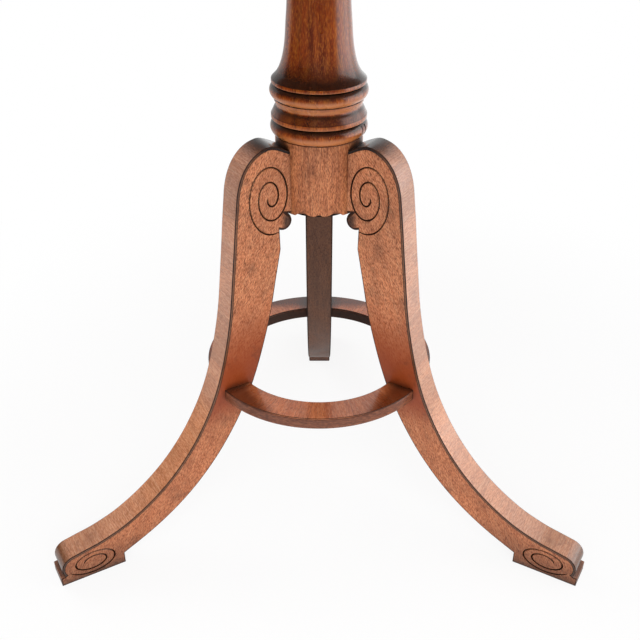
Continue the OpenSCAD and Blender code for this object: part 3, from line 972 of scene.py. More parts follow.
def arc(
    centre: Point, radius: float, start: float, end: float, steps: int
) -> list[Vector]:
    """Gives the points of an arc.

    Args:
        centre: The arc's centre.
        radius: Its radius.
        start: Its first angle in degrees.
        end: Its last angle in degrees.
        steps: How many steps it has.

    Returns:
        The points, one more than the steps.
    """
    turns = [math.radians(start + (end - start) * k / steps) for k in range(steps + 1)]
    return [
        Vector((centre[0] + radius * math.cos(a), centre[1] + radius * math.sin(a)))
        for a in turns
    ]


def smooth_curve(knots: Sequence[Point], steps: int) -> list[Vector]:
    """Draws a smooth curve through all the knots.

    Args:
        knots: The knots in order.
        steps: How many steps lie between one knot and the next.

    Returns:
        The curve's points.
    """
    points = [Vector(knot) for knot in knots]
    drawn = []
    for i, (b, c) in enumerate(pairwise(points)):
        a = points[max(i - 1, 0)]
        d = points[min(i + 2, len(points) - 1)]
        for k in range(steps):
            s = k / steps
            bend = s * ((2 * a - 5 * b + 4 * c - d) + s * (3 * (b - c) + d - a))
            drawn.append(b + s / 2 * ((c - a) + bend))
    return drawn + [points[-1]]


def right_of(path: Sequence[Vector], i: int) -> Vector:
    """Gives the direction to the right of a path at one of its points."""
    way = path[min(i + 1, len(path) - 1)] - path[max(i - 1, 0)]
    return Vector((way.y, -way.x)).normalized()


def shifted(path: Sequence[Vector], by: float) -> list[Vector]:
    """Moves a path to its right by a distance."""
    return [point + by * right_of(path, i) for i, point in enumerate(path)]


def squared(inner: float, outer: float, foot: float, head: float) -> list[Point]:
    """Gives the corners of a section between two radii and two heights."""
    return [(inner, foot), (outer, foot), (outer, head), (inner, head)]


# Meshes


def turned_by(bm: Shape, degrees: float, axis: str = "Z") -> None:
    """Turns a shape about one of the frame's axes."""
    turn = Matrix.Rotation(math.radians(degrees), 3, axis)
    bmesh.ops.rotate(bm, verts=bm.verts, cent=(0, 0, 0), matrix=turn)


def spun(profile: Sequence[Sequence[float]], steps: int = 192) -> Shape:
    """Turns a profile round the table's axis.

    Args:
        profile: Radius and height of each point. It ends on the axis, or is closed into a
            loop where it doesn't.
        steps: How many steps the full turn has.

    Returns:
        The turned shape.
    """
    bm = bmesh.new()
    verts = [bm.verts.new((radius, 0, height)) for radius, height in profile]
    ends = list(pairwise(verts))
    if profile[0][0] > 0:
        ends.append((verts[-1], verts[0]))
    edges = [bm.edges.new(pair) for pair in ends]
    bmesh.ops.spin(
        bm,
        geom=verts + edges,
        cent=(0, 0, 0),
        axis=(0, 0, 1),
        angle=math.tau,
        steps=steps,
        use_merge=True,
    )
    return bm


def part_spun(
    profile: Sequence[Sequence[float]], start: float, sweep: float, steps: int
) -> Shape:
    """Turns a closed profile through a part of a turn.

    Args:
        profile: Radius and height of each corner.
        start: The first angle in degrees.
        sweep: The angle turned through in degrees.
        steps: How many steps it has.

    Returns:
        The turned shape, closed at both ends.
    """
    bm = bmesh.new()
    verts = [bm.verts.new((radius, 0, height)) for radius, height in profile]
    face = bm.faces.new(verts)
    turned_by(bm, start)
    bmesh.ops.spin(
        bm,
        geom=[face],
        cent=(0, 0, 0),
        axis=(0, 0, 1),
        angle=math.radians(sweep),
        steps=steps,
    )
    return bm


@dataclass(frozen=True)
class Run:
    """A stretch of a sawn board's outline.

    Attributes:
        points: The stretch's points in x and z.
        rounding: Width of the rounding along its arrises.
        finish: The number of its edge's finish.
    """

    points: Sequence[Vector]
    rounding: float = 0.0
    finish: int = 0


def sawn(runs: Sequence[Run], thickness: float) -> Shape:
    """Cuts an outline from a board that lies about the plane y = 0.

    Args:
        runs: The outline's stretches in order.
        thickness: The board's thickness.

    Returns:
        The sawn shape, with its roundings as bevel weights.
    """
    bm = bmesh.new()
    number = bm.verts.layers.int.new("corner")
    weight = bm.edges.layers.float.new("bevel_weight_edge")
    verts = []
    owners = []
    for run in runs:
        for point in run.points:
            vert = bm.verts.new((point.x, -thickness / 2, point.y))
            vert[number] = len(verts)
            verts.append(vert)
            owners.append(run)
    face = bm.faces.new(verts)
    made = bmesh.ops.extrude_face_region(bm, geom=[face])["geom"]
    far = [item for item in made if isinstance(item, bmesh.types.BMVert)]
    bmesh.ops.translate(bm, verts=far, vec=(0, thickness, 0))
    for face in bm.faces:
        if len(face.verts) != 4:
            continue
        ends = sorted({vert[number] for vert in face.verts})
        first = ends[1] if ends == [0, len(verts) - 1] else ends[0]
        face.material_index = owners[first].finish
        for edge in face.edges:
            one, other = edge.verts
            if one[number] != other[number]:
                edge[weight] = owners[first].rounding / WIDEST
    return bm


def swept(section: Sequence[Point], places: Sequence[Matrix]) -> Shape:
    """Draws a section along a row of places.

    Args:
        section: The section's corners, across and outwards.
        places: For each step, where the section stands.

    Returns:
        The swept solid, with each corner's number in the vertex layer "corner".
    """
    bm = bmesh.new()
    number = bm.verts.layers.int.new("corner")
    verts = []
    for i, (across, out) in enumerate(section):
        vert = bm.verts.new(places[0] @ Vector((across, out, 0)))
        vert[number] = i
        verts.append(vert)
    face = bm.faces.new(verts)
    for last, place in pairwise(places):
        made = bmesh.ops.extrude_face_region(bm, geom=[face])["geom"]
        face = next(item for item in made if isinstance(item, bmesh.types.BMFace))
        moved = [item for item in made if isinstance(item, bmesh.types.BMVert)]
        bmesh.ops.transform(bm, matrix=place @ last.inverted(), verts=moved)
    return bm


def boxed(low: Sequence[float], high: Sequence[float]) -> Shape:
    """Makes a box.

    Args:
        low: Its lowest corner.
        high: Its highest corner.

    Returns:
        The box.
    """
    bm = bmesh.new()
    made = bmesh.ops.create_cube(bm, size=1)["verts"]
    low_corner, high_corner = Vector(low), Vector(high)
    bmesh.ops.scale(bm, vec=high_corner - low_corner, verts=made)
    bmesh.ops.translate(bm, vec=(low_corner + high_corner) / 2, verts=made)
    return bm


def node_shape(node: str) -> Shape:
    """Copies a CAD node's mesh and closes its seams.

    Args:
        node: The node's name.

    Returns:
        The copied shape.
    """
    bm = bmesh.new()
    bm.from_mesh(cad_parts[node].data)
    bmesh.ops.remove_doubles(bm, verts=bm.verts, dist=TOUCH)
    return bm


def soften(
    bm: Shape,
    width: float,
    segments: int = 2,
    sharp: float = 40,
    line: bool = False,
    above: float = -math.inf,
) -> None:
    """Rounds a shape's sharp edges.

    Args:
        bm: The shape.
        width: Width of the rounding.
        segments: How many steps it has.
        sharp: The angle in degrees over which an edge is rounded.
        line: Whether the rounding takes the second finish, as a dark line.
        above: Height over which edges are rounded.
    """
    limit = math.radians(sharp)
    bmesh.ops.recalc_face_normals(bm, faces=bm.faces)
    edges = [
        e
        for e in bm.edges
        if e.is_convex
        and e.calc_face_angle(0) > limit
        and min(vert.co.z for vert in e.verts) > above
    ]
    made = bmesh.ops.bevel(
        bm,
        geom=edges,
        offset=width,
        offset_type="OFFSET",
        segments=segments,
        profile=0.5,
        affect="EDGES",
        clamp_overlap=True,
        material=-1,
    )
    if line:
        for face in made["faces"]:
            face.material_index = 1


def to_mesh(bm: Shape, name: str) -> Mesh:
    """Closes a built shape and makes it a mesh.

    Args:
        bm: The shape, which is freed.
        name: The mesh's name.

    Returns:
        The mesh, its doubles merged and its faces outwards.
    """
    bmesh.ops.remove_doubles(bm, verts=bm.verts, dist=TOUCH)
    bmesh.ops.recalc_face_normals(bm, faces=bm.faces)
    mesh = bpy.data.meshes.new(name)
    bm.to_mesh(mesh)
    bm.free()
    # The CAD's own normals don't fit a copy whose triangles have been joined
    if "custom_normal" in mesh.attributes:
        mesh.attributes.remove(mesh.attributes["custom_normal"])
    return mesh


def add_shape(whole: Shape, part: Shape) -> None:
    """Adds a built shape to another one.

    Args:
        whole: The shape that grows.
        part: The shape added to it, which is freed.
    """
    mesh = to_mesh(part, "part")
    whole.from_mesh(mesh)
    bpy.data.meshes.remove(mesh)


@dataclass
class Piece:
    """A finished piece, and where it belongs.

    Attributes:
        node: The CAD node that it stands for, or its own name where it is added.
        body: The CAD body that it rides on.
        slot: The record's slot that its finish belongs to; not used.
        finishes: Its finishes, in the order of the faces' numbers.
        grain: Where its fibres run.
        turn: Degrees that it is turned about the table's axis once its grain is laid.
        added: Whether it is added to the CAD's nodes, and stands for none of them.
    """

    node: str
    body: str
    slot: Slot
    finishes: Sequence[Finish]
    grain: GrainMap = UPRIGHT
    turn: float = 0.0
    added: bool = False

    @property
    def name(self) -> str:
        """Gives the piece's name."""
        return self.node if self.added else f"{self.node}_finished"

    def dress(self, mesh: Mesh) -> None:
        """Gives a bare mesh the piece's finishes; its faces keep their numbers.

        Args:
            mesh: The mesh.
        """
        if not mesh.materials:
            for finish in self.finishes:
                mesh.materials.append(finish.material())

    def shaped(
        self, mesh: Mesh, cutters: Sequence[Mesh], rounded: bool = False
    ) -> Mesh:
        """Rounds a mesh's weighted edges, and then cuts shapes out of it.

        Args:
            mesh: The mesh to work on.
            cutters: The meshes to cut out of it.
            rounded: Whether edges are rounded by their weights. Roundings take the second
                finish.

        Returns:
            The shaped mesh.
        """
        scene = bpy.context.scene
        self.dress(mesh)
        blank = bpy.data.objects.new(mesh.name, mesh)
        scene.collection.objects.link(blank)
        if rounded:
            bevel = blank.modifiers.new("arrises", "BEVEL")
            bevel.limit_method = "WEIGHT"
            bevel.width = WIDEST
            bevel.segments = 3
            bevel.use_clamp_overlap = False
            # Roundings take the near-black finish: old wax, and painted shade along the arrises
            bevel.material = 1
        tools = []
        for cutter in cutters:
            self.dress(cutter)
            tool = bpy.data.objects.new(cutter.name, cutter)
            scene.collection.objects.link(tool)
            tools.append(tool)
            cut = blank.modifiers.new(cutter.name, "BOOLEAN")
            cut.operation = "DIFFERENCE"
            cut.solver = "EXACT"
            cut.material_mode = "INDEX"
            cut.object = tool
        bpy.context.view_layer.update()
        graph = bpy.context.evaluated_depsgraph_get()
        result = bpy.data.meshes.new_from_object(blank.evaluated_get(graph))
        for thing in [blank, *tools]:
            bpy.data.objects.remove(thing)
        return result

    def place(self, mesh: Mesh) -> None:
        """Dresses a mesh and sets it on its body.

        Args:
            mesh: The piece's mesh, in the table's frame before its turn.
        """
        self.dress(mesh)
        layer = mesh.attributes.new(GRAIN, "FLOAT_VECTOR", "CORNER")
        for polygon in mesh.polygons:
            centre = polygon.center
            for i in polygon.loop_indices:
                corner = mesh.vertices[mesh.loops[i].vertex_index].co
                layer.data[i].vector = self.grain(corner, centre)
        mesh.transform(Matrix.Rotation(math.radians(self.turn), 4, "Z"))
        mesh.shade_smooth()
        mesh.set_sharp_from_angle(angle=math.radians(ROUND_EDGE))
        piece = bpy.data.objects.new(self.name, mesh)
        bpy.context.scene.collection.objects.link(piece)
        # Large faces keep their flat shading beside rounded edges
        even = piece.modifiers.new("even_shading", "WEIGHTED_NORMAL")
        even.keep_sharp = True
        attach(piece, self.body)
        if not self.added:
            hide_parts(self.node)
        LOG.info("%s on %s, %d faces", self.name, self.body, len(mesh.polygons))

    def built(self, bm: Shape) -> None:
        """Makes a built shape the piece's mesh and places it."""
        self.place(to_mesh(bm, self.name))

    def turned(self, profile: Sequence[Sequence[float]], steps: int = 192) -> None:
        """Turns a profile round the table's axis and places it."""
        self.built(spun(profile, steps))

    def copied(
        self, width: float = 0.0, segments: int = 2, above: float = -math.inf
    ) -> None:
        """Copies its CAD node, rounds the copy's edges and places it.

        Args:
            width: Width of the rounding, or 0 for none.
            segments: Steps of the rounding.
            above: Height over which edges are rounded.
        """
        bm = node_shape(self.node)
        if width:
            # A rounding needs whole faces in place of the CAD's triangles
            bmesh.ops.dissolve_limit(
                bm, angle_limit=math.radians(FLAT_EDGE), verts=bm.verts, edges=bm.edges
            )
            soften(bm, width, segments, above=above)
        self.built(bm)


def finish_node(node: str, finish: Finish) -> None:
    """Gives a CAD node that stays its finish.

    Args:
        node: The node's name.
        finish: Its finish.
    """
    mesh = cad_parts[node].data
    mesh.materials.clear()
    mesh.materials.append(finish.material())
    LOG.info("%s keeps its CAD shape", node)


# The pedestal


@dataclass
class Column:
    """The turned column with its collar of two beads.

    Attributes:
        neck_r: Radius at the neck.
        flare_r: Radius at the foot of the flare.
        collar_r: Radius of both beads.
        groove_r: Radius in the grooves beside the beads.
        hollow_r: Radius of the hollow between the beads.
        lower_bead: Height of the lower bead.
        upper_bead: Height of the upper bead.
        hollow: Height of the hollow.
        fillet: Height of the fillet over the lower bead.
        lip: Height of the fillet under the flare.
        neck_at: Height of the neck over the flare's foot, as a share of what is left.
        cap_gap: How far the column ends below the cap's underside.
        flare: The flare downwards from the neck, in hundredths of its growth and height.
        cracks: Where old shrinkage has opened the lower bead, in degrees, and how far.
    """

    neck_r: float = 27 * MM
    flare_r: float = 43 * MM
    collar_r: float = 45.2 * MM
    groove_r: float = 40.4 * MM
    hollow_r: float = 39.6 * MM
    lower_bead: float = 15.8 * MM
    upper_bead: float = 14 * MM
    hollow: float = 14.4 * MM
    fillet: float = 4 * MM
    lip: float = 3.8 * MM
    neck_at: float = 0.75
    cap_gap: float = 0.5 * MM
    flare: tuple[Point, ...] = (
        (0, 100), (6, 68), (14, 50), (22, 33), (34, 21), (50, 12), (72, 5), (100, 0)
    )
    cracks: tuple[Point, ...] = ((-28.6, 1.2 * MM), (-20.0, 2.2 * MM))

    def bead(self, foot: float, height: float) -> list[Vector]:
        """Gives a bead's round face between two grooves.

        Args:
            foot: Height at which the bead starts.
            height: Height of the bead.

        Returns:
            The bead's points upwards.
        """
        radius = height / 2
        centre = (self.collar_r - radius, foot + radius)
        reach = math.degrees(math.acos((self.groove_r - centre[0]) / radius))
        return arc(centre, radius, -reach, reach, 16)

    def profile(self, foot: float, head: float) -> list[Vector]:
        """Draws the column's outline.

        Args:
            foot: Height at which the column stands on the block.
            head: Height of its upper end.

        Returns:
            Radius and height of each point, from the axis to the axis.
        """
        bead_top = foot + self.lower_bead
        hollow_top = bead_top + self.fillet + self.hollow
        upper_top = hollow_top + self.upper_bead
        flare_foot = upper_top + self.lip
        neck = flare_foot + self.neck_at * (head - flare_foot)
        fillet_r = self.collar_r - 1 * MM
        grown = self.flare_r - self.neck_r
        tall = neck - flare_foot
        flare = [
            (self.neck_r + out / 100 * grown, flare_foot + up / 100 * tall)
            for out, up in reversed(self.flare)
        ]
        hollow = smooth_curve(
            [
                (fillet_r - 0.4 * MM, bead_top + self.fillet),
                (self.hollow_r + 2 * MM, bead_top + self.fillet + 0.35 * self.hollow),
                (self.hollow_r, bead_top + self.fillet / 2 + 0.75 * self.hollow),
                (self.hollow_r + 1.6 * MM, hollow_top - self.fillet / 2),
            ],
            6,
        )
        stem = smooth_curve(
            flare + [(self.neck_r + 1.2 * MM, neck + 0.4 * (head - neck))], 6
        )
        astragal = arc((self.neck_r + 3.6 * MM, head - 12 * MM), 4 * MM, -62, 90, 12)
        groove = self.groove_r
        return [
            Vector((0, foot)),
            Vector((groove, foot)),
            *self.bead(foot, self.lower_bead),
            Vector((groove, bead_top)),
            Vector((fillet_r - 0.3 * MM, bead_top)),
            Vector((fillet_r, bead_top + 0.4 * MM)),
            Vector((fillet_r, bead_top + self.fillet - 0.4 * MM)),
            *hollow,
            Vector((groove + 1 * MM, hollow_top)),
            Vector((groove, hollow_top)),
            *self.bead(hollow_top, self.upper_bead),
            Vector((groove, upper_top)),
            Vector((self.flare_r, upper_top + 0.2 * MM)),
            Vector((self.flare_r + 0.4 * MM, upper_top + 0.7 * MM)),
            Vector((self.flare_r + 0.4 * MM, flare_foot - 0.5 * MM)),
            *stem,
            *astragal,
            Vector((self.neck_r + 6 * MM, head - 7 * MM)),
            Vector((self.neck_r + 10 * MM, head - 5 * MM)),
            Vector((self.neck_r + 10 * MM, head)),
            Vector((0, head)),
        ]

    def crack(self, angle: float, width: float, foot: float) -> Mesh:
        """Makes a thin wedge that opens a crack in the lower bead.

        Args:
            angle: Where the crack is, in degrees.
            width: How far it is open.
            foot: Height of the block's top.

        Returns:
            The wedge, with faces of the second finish.
        """
        half = width / 2
        bm = boxed(
            (self.collar_r - 6 * MM, -half, foot + 0.8 * MM),
            (self.collar_r + 2 * MM, half, foot + self.lower_bead - 1.5 * MM),
        )
        for vert in bm.verts:
            if vert.co.x < self.collar_r and vert.co.z > foot + self.lower_bead / 2:
                vert.co.z -= 3 * MM
            if vert.co.x > self.collar_r and vert.co.z < foot + self.lower_bead / 2:
                vert.co.y *= 0.5
        # The crack's faces take the near-black finish, as painted shade inside it
        for face in bm.faces:
            face.material_index = 1
        turned_by(bm, angle)
        return to_mesh(bm, "shrinkage_crack")

    def build(self) -> None:
        """Turns the column, opens its cracks and sets it on the block."""
        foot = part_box("leg_block")[1].z
        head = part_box("column_cap")[0].z - self.cap_gap
        piece = Piece("column", "pedestal", Slot.MAHOGANY, (COLUMN_WOOD, WAX_AND_SHADE_WOOD))
        shaft = to_mesh(spun(self.profile(foot, head)), piece.name)
        cracks = [self.crack(angle, width, foot) for angle, width in self.cracks]
        piece.place(piece.shaped(shaft, cracks))


@dataclass
class Cap:
    """The turned disc that the drum stands on.

    Attributes:
        step: Depth of the step above and below the rim.
        rise: Height of the upper step.
        arris: Rounding of the step's edges.
        nose_r: Radius of the rim's rounding.
    """

    step: float = 5 * MM
    rise: float = 3 * MM
    arris: float = 0.4 * MM
    nose_r: float = 4.5 * MM

    def build(self) -> None:
        """Turns the cap from a disc."""
        low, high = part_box("column_cap")
        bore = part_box("pivot_spindle")[1].x + CLEAR
        rim = high.x
        shelf = high.z - self.rise
        profile = [
            Vector((bore, low.z)),
            Vector((rim - self.step, low.z)),
            *arc((rim - self.nose_r, low.z + self.nose_r), self.nose_r, -75, 0, 10),
            Vector((rim, shelf - self.arris)),
            Vector((rim - self.arris, shelf)),
            Vector((rim - self.step, shelf)),
            Vector((rim - self.step, high.z - self.arris)),
            Vector((rim - self.step - self.arris, high.z)),
            Vector((bore, high.z)),
        ]
        grain = straight_grain((1, 0.2, 0))
        Piece("column_cap", "pedestal", Slot.MAHOGANY, (COLUMN_WOOD,), grain).turned(profile)


@dataclass
class Ring:
    """The ring stretcher: three arcs of wood under a crossbanded top.

    Attributes:
        width: Width of the ring.
        arris: Rounding of the arcs' edges.
        line: Width of the dark line along the crossbanding's edges.
        gap: Half the angle of the joint between two arcs, in degrees.
        outer: Radius of the ring's outer edge, from the frame.
        inner: Radius of its inner edge.
        foot: Height of the arcs' foot, from the frame.
        glue: Height at which the crossbanding lies on the arcs, from the frame.
        head: Height of the crossbanding's top, from the frame.
    """

    width: float = 27.2 * MM
    arris: float = 0.7 * MM
    line: float = 0.5 * MM
    gap: float = 0.05
    outer: float = field(init=False)
    inner: float = field(init=False)
    foot: float = field(init=False)
    glue: float = field(init=False)
    head: float = field(init=False)

    def __post_init__(self) -> None:
        """Reads where the ring lies from the frame."""
        low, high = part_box("stretcher_crossbanding")
        self.outer = high.x
        self.inner = high.x - self.width
        self.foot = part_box("stretcher_arc_front")[0].z
        self.glue = low.z
        self.head = high.z

    def shade_inside(self, bm: Shape) -> None:
        """Gives the ring's inner side the second finish, near-black as painted shade.

        Args:
            bm: The arc or the crossbanding.
        """
        for face in bm.faces:
            if face.calc_center_median().xy.length < self.inner + 0.1 * MM:
                face.material_index = 1

    def build(self) -> None:
        """Turns the arcs, which meet in the legs' notches, and lays the crossbanding."""
        mid = (self.inner + self.outer) / 2
        wood = squared(self.inner, self.outer, self.foot, self.glue)
        sweep = 120 - 2 * self.gap
        for name, turn in (
            ("front", Turn.FRONT_LEFT), ("right", Turn.FRONT_RIGHT), ("left", Turn.REAR)
        ):
            bm = part_spun(wood, turn.value + self.gap, sweep, 64)
            soften(bm, self.arris, 3)
            self.shade_inside(bm)
            Piece(
                f"stretcher_arc_{name}",
                "pedestal",
                Slot.MAHOGANY,
                (MOULDING_WOOD, WAX_AND_SHADE_WOOD),
                hoop_grain(mid),
            ).built(bm)
        bm = spun(squared(self.inner, self.outer, self.glue, self.head))
        soften(bm, self.line, 2, line=True)
        self.shade_inside(bm)
        Piece(
            "stretcher_crossbanding",
            "pedestal",
            Slot.CROSSBANDING,
            (RING_WOOD, WAX_AND_SHADE_WOOD),
            radial_grain(mid),
        ).built(bm)


RING = Ring()


@dataclass
class Leg:
    """A sabre leg with a scroll head, carved grooves, a plinth foot and its facing.

    Attributes:
        turn: Where the leg stands.
        outer: The outer edge from the block to the foot, in thousandths of the leg's
            reach past the block and of its height.
        block_r: Radius of the block.
        knee_depth: Depth below the scroll head.
        ankle_depth: Depth at the ankle.
        facing: Thickness of the facing.
        plinth: Height of the plinth.
        toe_ledge: How far the plinth stands past the toe.
        heel_r: Distance of the heel from the axis.
        heel_h: Height of the heel.
        nose_r: Radius of the toe's rounding.
        nose_z: Height of that rounding's centre.
        lobe_r: Radius of the scroll's lobe under the block.
        groove_w: Width of a carved groove's dark bottom.
        groove_d: Depth of a carved groove.
        knee_knot: Number of the outer edge's point level with the inner edge's start.
        ankle_knot: Number of the point level with its end.
        steps: How many steps lie between two points of the outer edge.
        name: The leg's name.
        crest: Height of the scroll head's top, from the frame.
        toe_r: Distance of the toe from the axis, from the frame.
        thick: Thickness of the leg, from the frame.
        block_low: Height of the block's foot, from the frame.
        curve: The outer edge from the block to the ankle.
        edge: The whole outer edge, with the toe's rounding.
    """

    turn: Turn
    outer: tuple[Point, ...] = (
        (-12, 981), (26, 993), (60, 1000), (91, 997), (119, 989), (144, 976), (167, 957),
        (185, 932), (196, 905), (203, 870), (212, 821), (221, 766), (233, 698), (247, 622),
        (266, 554), (293, 482), (328, 413), (375, 348), (441, 280), (527, 215), (627, 161),
        (736, 119), (834, 96), (900, 87),
    )
    block_r: float = 41 * MM
    knee_depth: float = 50 * MM
    ankle_depth: float = 31 * MM
    facing: float = 2.5 * MM
    plinth: float = 10 * MM
    toe_ledge: float = 2.5 * MM
    heel_r: float = 242 * MM
    heel_h: float = 13 * MM
    nose_r: float = 15 * MM
    nose_z: float = 19 * MM
    lobe_r: float = 9 * MM
    groove_w: float = 1.3 * MM
    groove_d: float = 1.2 * MM
    knee_knot: int = 11
    ankle_knot: int = 21
    steps: int = 6
    name: str = field(init=False)
    crest: float = field(init=False)
    toe_r: float = field(init=False)
    thick: float = field(init=False)
    block_low: float = field(init=False)
    curve: list[Vector] = field(init=False)
    edge: list[Vector] = field(init=False)

    def __post_init__(self) -> None:
        """Reads the leg's height, reach and thickness from the frame, and draws its edge."""
        low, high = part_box("leg_rear")
        self.name = self.turn.name.lower()
        self.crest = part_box("leg_facing_rear")[1].z
        self.toe_r = high.y - self.toe_ledge
        self.thick = high.x - low.x
        self.block_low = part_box("leg_block")[0].z
        reach = self.toe_r - self.block_r
        knots = [
            (self.block_r + out / 1000 * reach, up / 1000 * self.crest)
            for out, up in self.outer
        ]
        self.curve = smooth_curve(knots, self.steps)
        nose = arc((self.toe_r - self.nose_r, self.nose_z), self.nose_r, 78, -34, 20)
        self.edge = self.curve + nose

    def inner(self) -> list[Vector]:
        """Draws the inner edge.

        Returns:
            Its points from the knee down to the ankle.
        """
        first, last = self.knee_knot * self.steps, self.ankle_knot * self.steps
        points = []
        for i in range(first, last + 1):
            share = (i - first) / (last - first)
            growth = (1 - share) ** 1.35
            depth = self.ankle_depth + (self.knee_depth - self.ankle_depth) * growth
            points.append(self.curve[i] + depth * right_of(self.curve, i))
        return points

    def lobe(self) -> list[Vector]:
        """Gives the scroll's lobe, from the inner edge up to the block."""
        centre = (self.block_r + 5 * MM, self.block_low - 6.5 * MM)
        return arc(centre, self.lobe_r, 300, 128, 12)

    def outline(self) -> list[Run]:
        """Draws the leg's outline.

        Returns:
            The wood behind the facing, all the way round.
        """
        reach = self.toe_r + self.toe_ledge
        return [
            Run(shifted(self.edge, self.facing), 0.3 * MM),
            Run([self.edge[-1], Vector((reach, self.plinth))], 0.8 * MM),
            Run([Vector((reach, 0))], 1.5 * MM),
            Run([Vector((self.heel_r, 0))], 0.9 * MM),
            # The inner edge takes the inner finish, darkened partly as painted shade
            Run([Vector((self.heel_r, self.heel_h)), *reversed(self.inner())], 1.3 * MM, 2),
            # The lobe's wide near-black rounding is painted shadow under the block
            Run(self.lobe(), 3 * MM, 2),
            Run([Vector((self.block_r - 4 * MM, self.block_low))]),
        ]

    def spiral(
        self,
        centre: Vector,
        half: Vector,
        turns: tuple[float, float],
        eye: float,
        steps: int,
    ) -> list[Vector]:
        """Draws an oval spiral that shrinks steadily.

        Args:
            centre: The spiral's centre.
            half: Half its width and height.
            turns: Its first and last angle in degrees.
            eye: Half the width at its end.
            steps: How many steps it has.

        Returns:
            The spiral's points.
        """
        points = []
        for k in range(steps + 1):
            angle = math.radians(turns[0] + (turns[1] - turns[0]) * k / steps)
            size = 1 - k / steps * (1 - eye / half.x)
            spot = Vector((half.x * math.cos(angle), half.y * math.sin(angle)))
            points.append(centre + size * spot)
        return points

    def gouge(self, path: Sequence[Vector], side: int, inwards: int) -> Mesh:
        """Makes the tool that carves one groove, steep outside and sloping inside.

        Args:
            path: The groove's line in x and z.
            side: The leg's side, 1 or -1.
            inwards: 1 where the spiral's middle is to the right of its way, or else -1.

        Returns:
            The tool, its bottom in the second finish.
        """
        clear = 0.5 * MM
        width, depth = self.groove_w, self.groove_d
        section = [
            (-0.7 * width * inwards, clear),
            (-0.25 * width * inwards, -depth),
            (0.25 * width * inwards, -0.9 * depth),
            (1.2 * width * inwards, clear),
        ]
        places = []
        for i, spot in enumerate(path):
            taper = min(1.0, 0.35 + i / 6, 0.35 + (len(path) - 1 - i) / 6)
            right = right_of(path, i)
            place = Matrix(
                (
                    (right.x * taper, 0, -right.y, spot.x),
                    (0, side * taper, 0, side * self.thick / 2),
                    (right.y * taper, 0, right.x, spot.y),
                    (0, 0, 0, 1),
                )
            )
            places.append(place)
        bm = swept(section, places)
        number = bm.verts.layers.int["corner"]
        # The groove's bottom takes the near-black finish: old wax, and painted shade in the
        # groove
        for face in bm.faces:
            if {vert[number] for vert in face.verts} == {1, 2}:
                face.material_index = 1
        return to_mesh(bm, "gouge")

    def carving(self) -> list[Mesh]:
        """Makes the tools for the carved lines.

        Returns:
            The tools for the scroll and the foot's oval, on both sides.
        """
        scroll = self.spiral(
            centre=Vector((self.block_r + 18.3 * MM, self.crest - 48.9 * MM)),
            half=Vector((24.8 * MM, 38.1 * MM)),
            turns=(246, 1080),
            eye=3.2 * MM,
            steps=110,
        )
        oval = self.spiral(
            centre=Vector((self.toe_r - 31.9 * MM, 18.7 * MM)),
            half=Vector((26.6 * MM, 15.4 * MM)),
            turns=(-22, -712),
            eye=9.5 * MM,
            steps=96,
        )
        return [
            self.gouge(path, side, inwards)
            for side in (-1, 1)
            for path, inwards in ((scroll, -1), (oval, 1))
        ]

    def spaces(self) -> tuple[Mesh, Mesh]:
        """Makes the tools that clear the leg round the block and the ring.

        Returns:
            The block's space and the ring's.
        """
        block = squared(
            0, self.block_r + CLEAR, self.block_low - CLEAR, self.crest + 5 * MM
        )
        ring = squared(
            RING.inner - CLEAR, RING.outer + CLEAR, RING.foot - CLEAR, RING.head + CLEAR
        )
        return to_mesh(spun(block), "block_space"), to_mesh(spun(ring), "ring_space")

    def build(self) -> None:
        """Saws, carves and fits the leg, and glues its facing on."""
        block_space, ring_space = self.spaces()
        leg = Piece(
            f"leg_{self.name}",
            "pedestal",
            Slot.MAHOGANY,
            (LEG_WOOD, WAX_AND_SHADE_WOOD, INNER_WOOD_AND_SHADE),
            straight_grain((0.42, 0, -0.908), self.turn.value / 100),
            self.turn.value,
        )
        board = to_mesh(sawn(self.outline(), self.thick), leg.name)
        leg.place(leg.shaped(board, [block_space, ring_space, *self.carving()], rounded=True))
        back = list(reversed(shifted(self.edge, self.facing)))
        strip = sawn([Run(self.edge, 0.8 * MM), Run(back, 0.3 * MM)], self.thick)
        facing = Piece(
            f"leg_facing_{self.name}",
            "pedestal",
            Slot.CROSSBANDING,
            (FACING_WOOD, WAX_AND_SHADE_WOOD),
            cross_grain(self.edge),
            self.turn.value,
        )
        blank = to_mesh(strip, facing.name)
        facing.place(facing.shaped(blank, [block_space], rounded=True))


@dataclass
class Pedestal:
    """Everything that stands still under the drum."""

    def build(self) -> None:
        """Builds the column, cap, block, legs, ring and pivot."""
        Column().build()
        Cap().build()
        grain = straight_grain((0, 0, 1), 0.4)
        block = Piece("leg_block", "pedestal", Slot.MAHOGANY, (BLOCK_WOOD,), grain)
        block.copied(0.5 * MM)
        for turn in Turn:
            Leg(turn).build()
        RING.build()
        for node in ("column_wedge", "stretcher_dowels"):
            Piece(node, "pedestal", Slot.DRAWER_WOOD, (LINING_WOOD,)).copied()
        finish_node("block_plate", IRON)
        for node in ("block_plate_screws", "pivot_spindle", "pivot_washer", "pivot_nut"):
            finish_node(node, STEEL)
        finish_node("bearing_washer", BRASS)


# The drum and its drawers


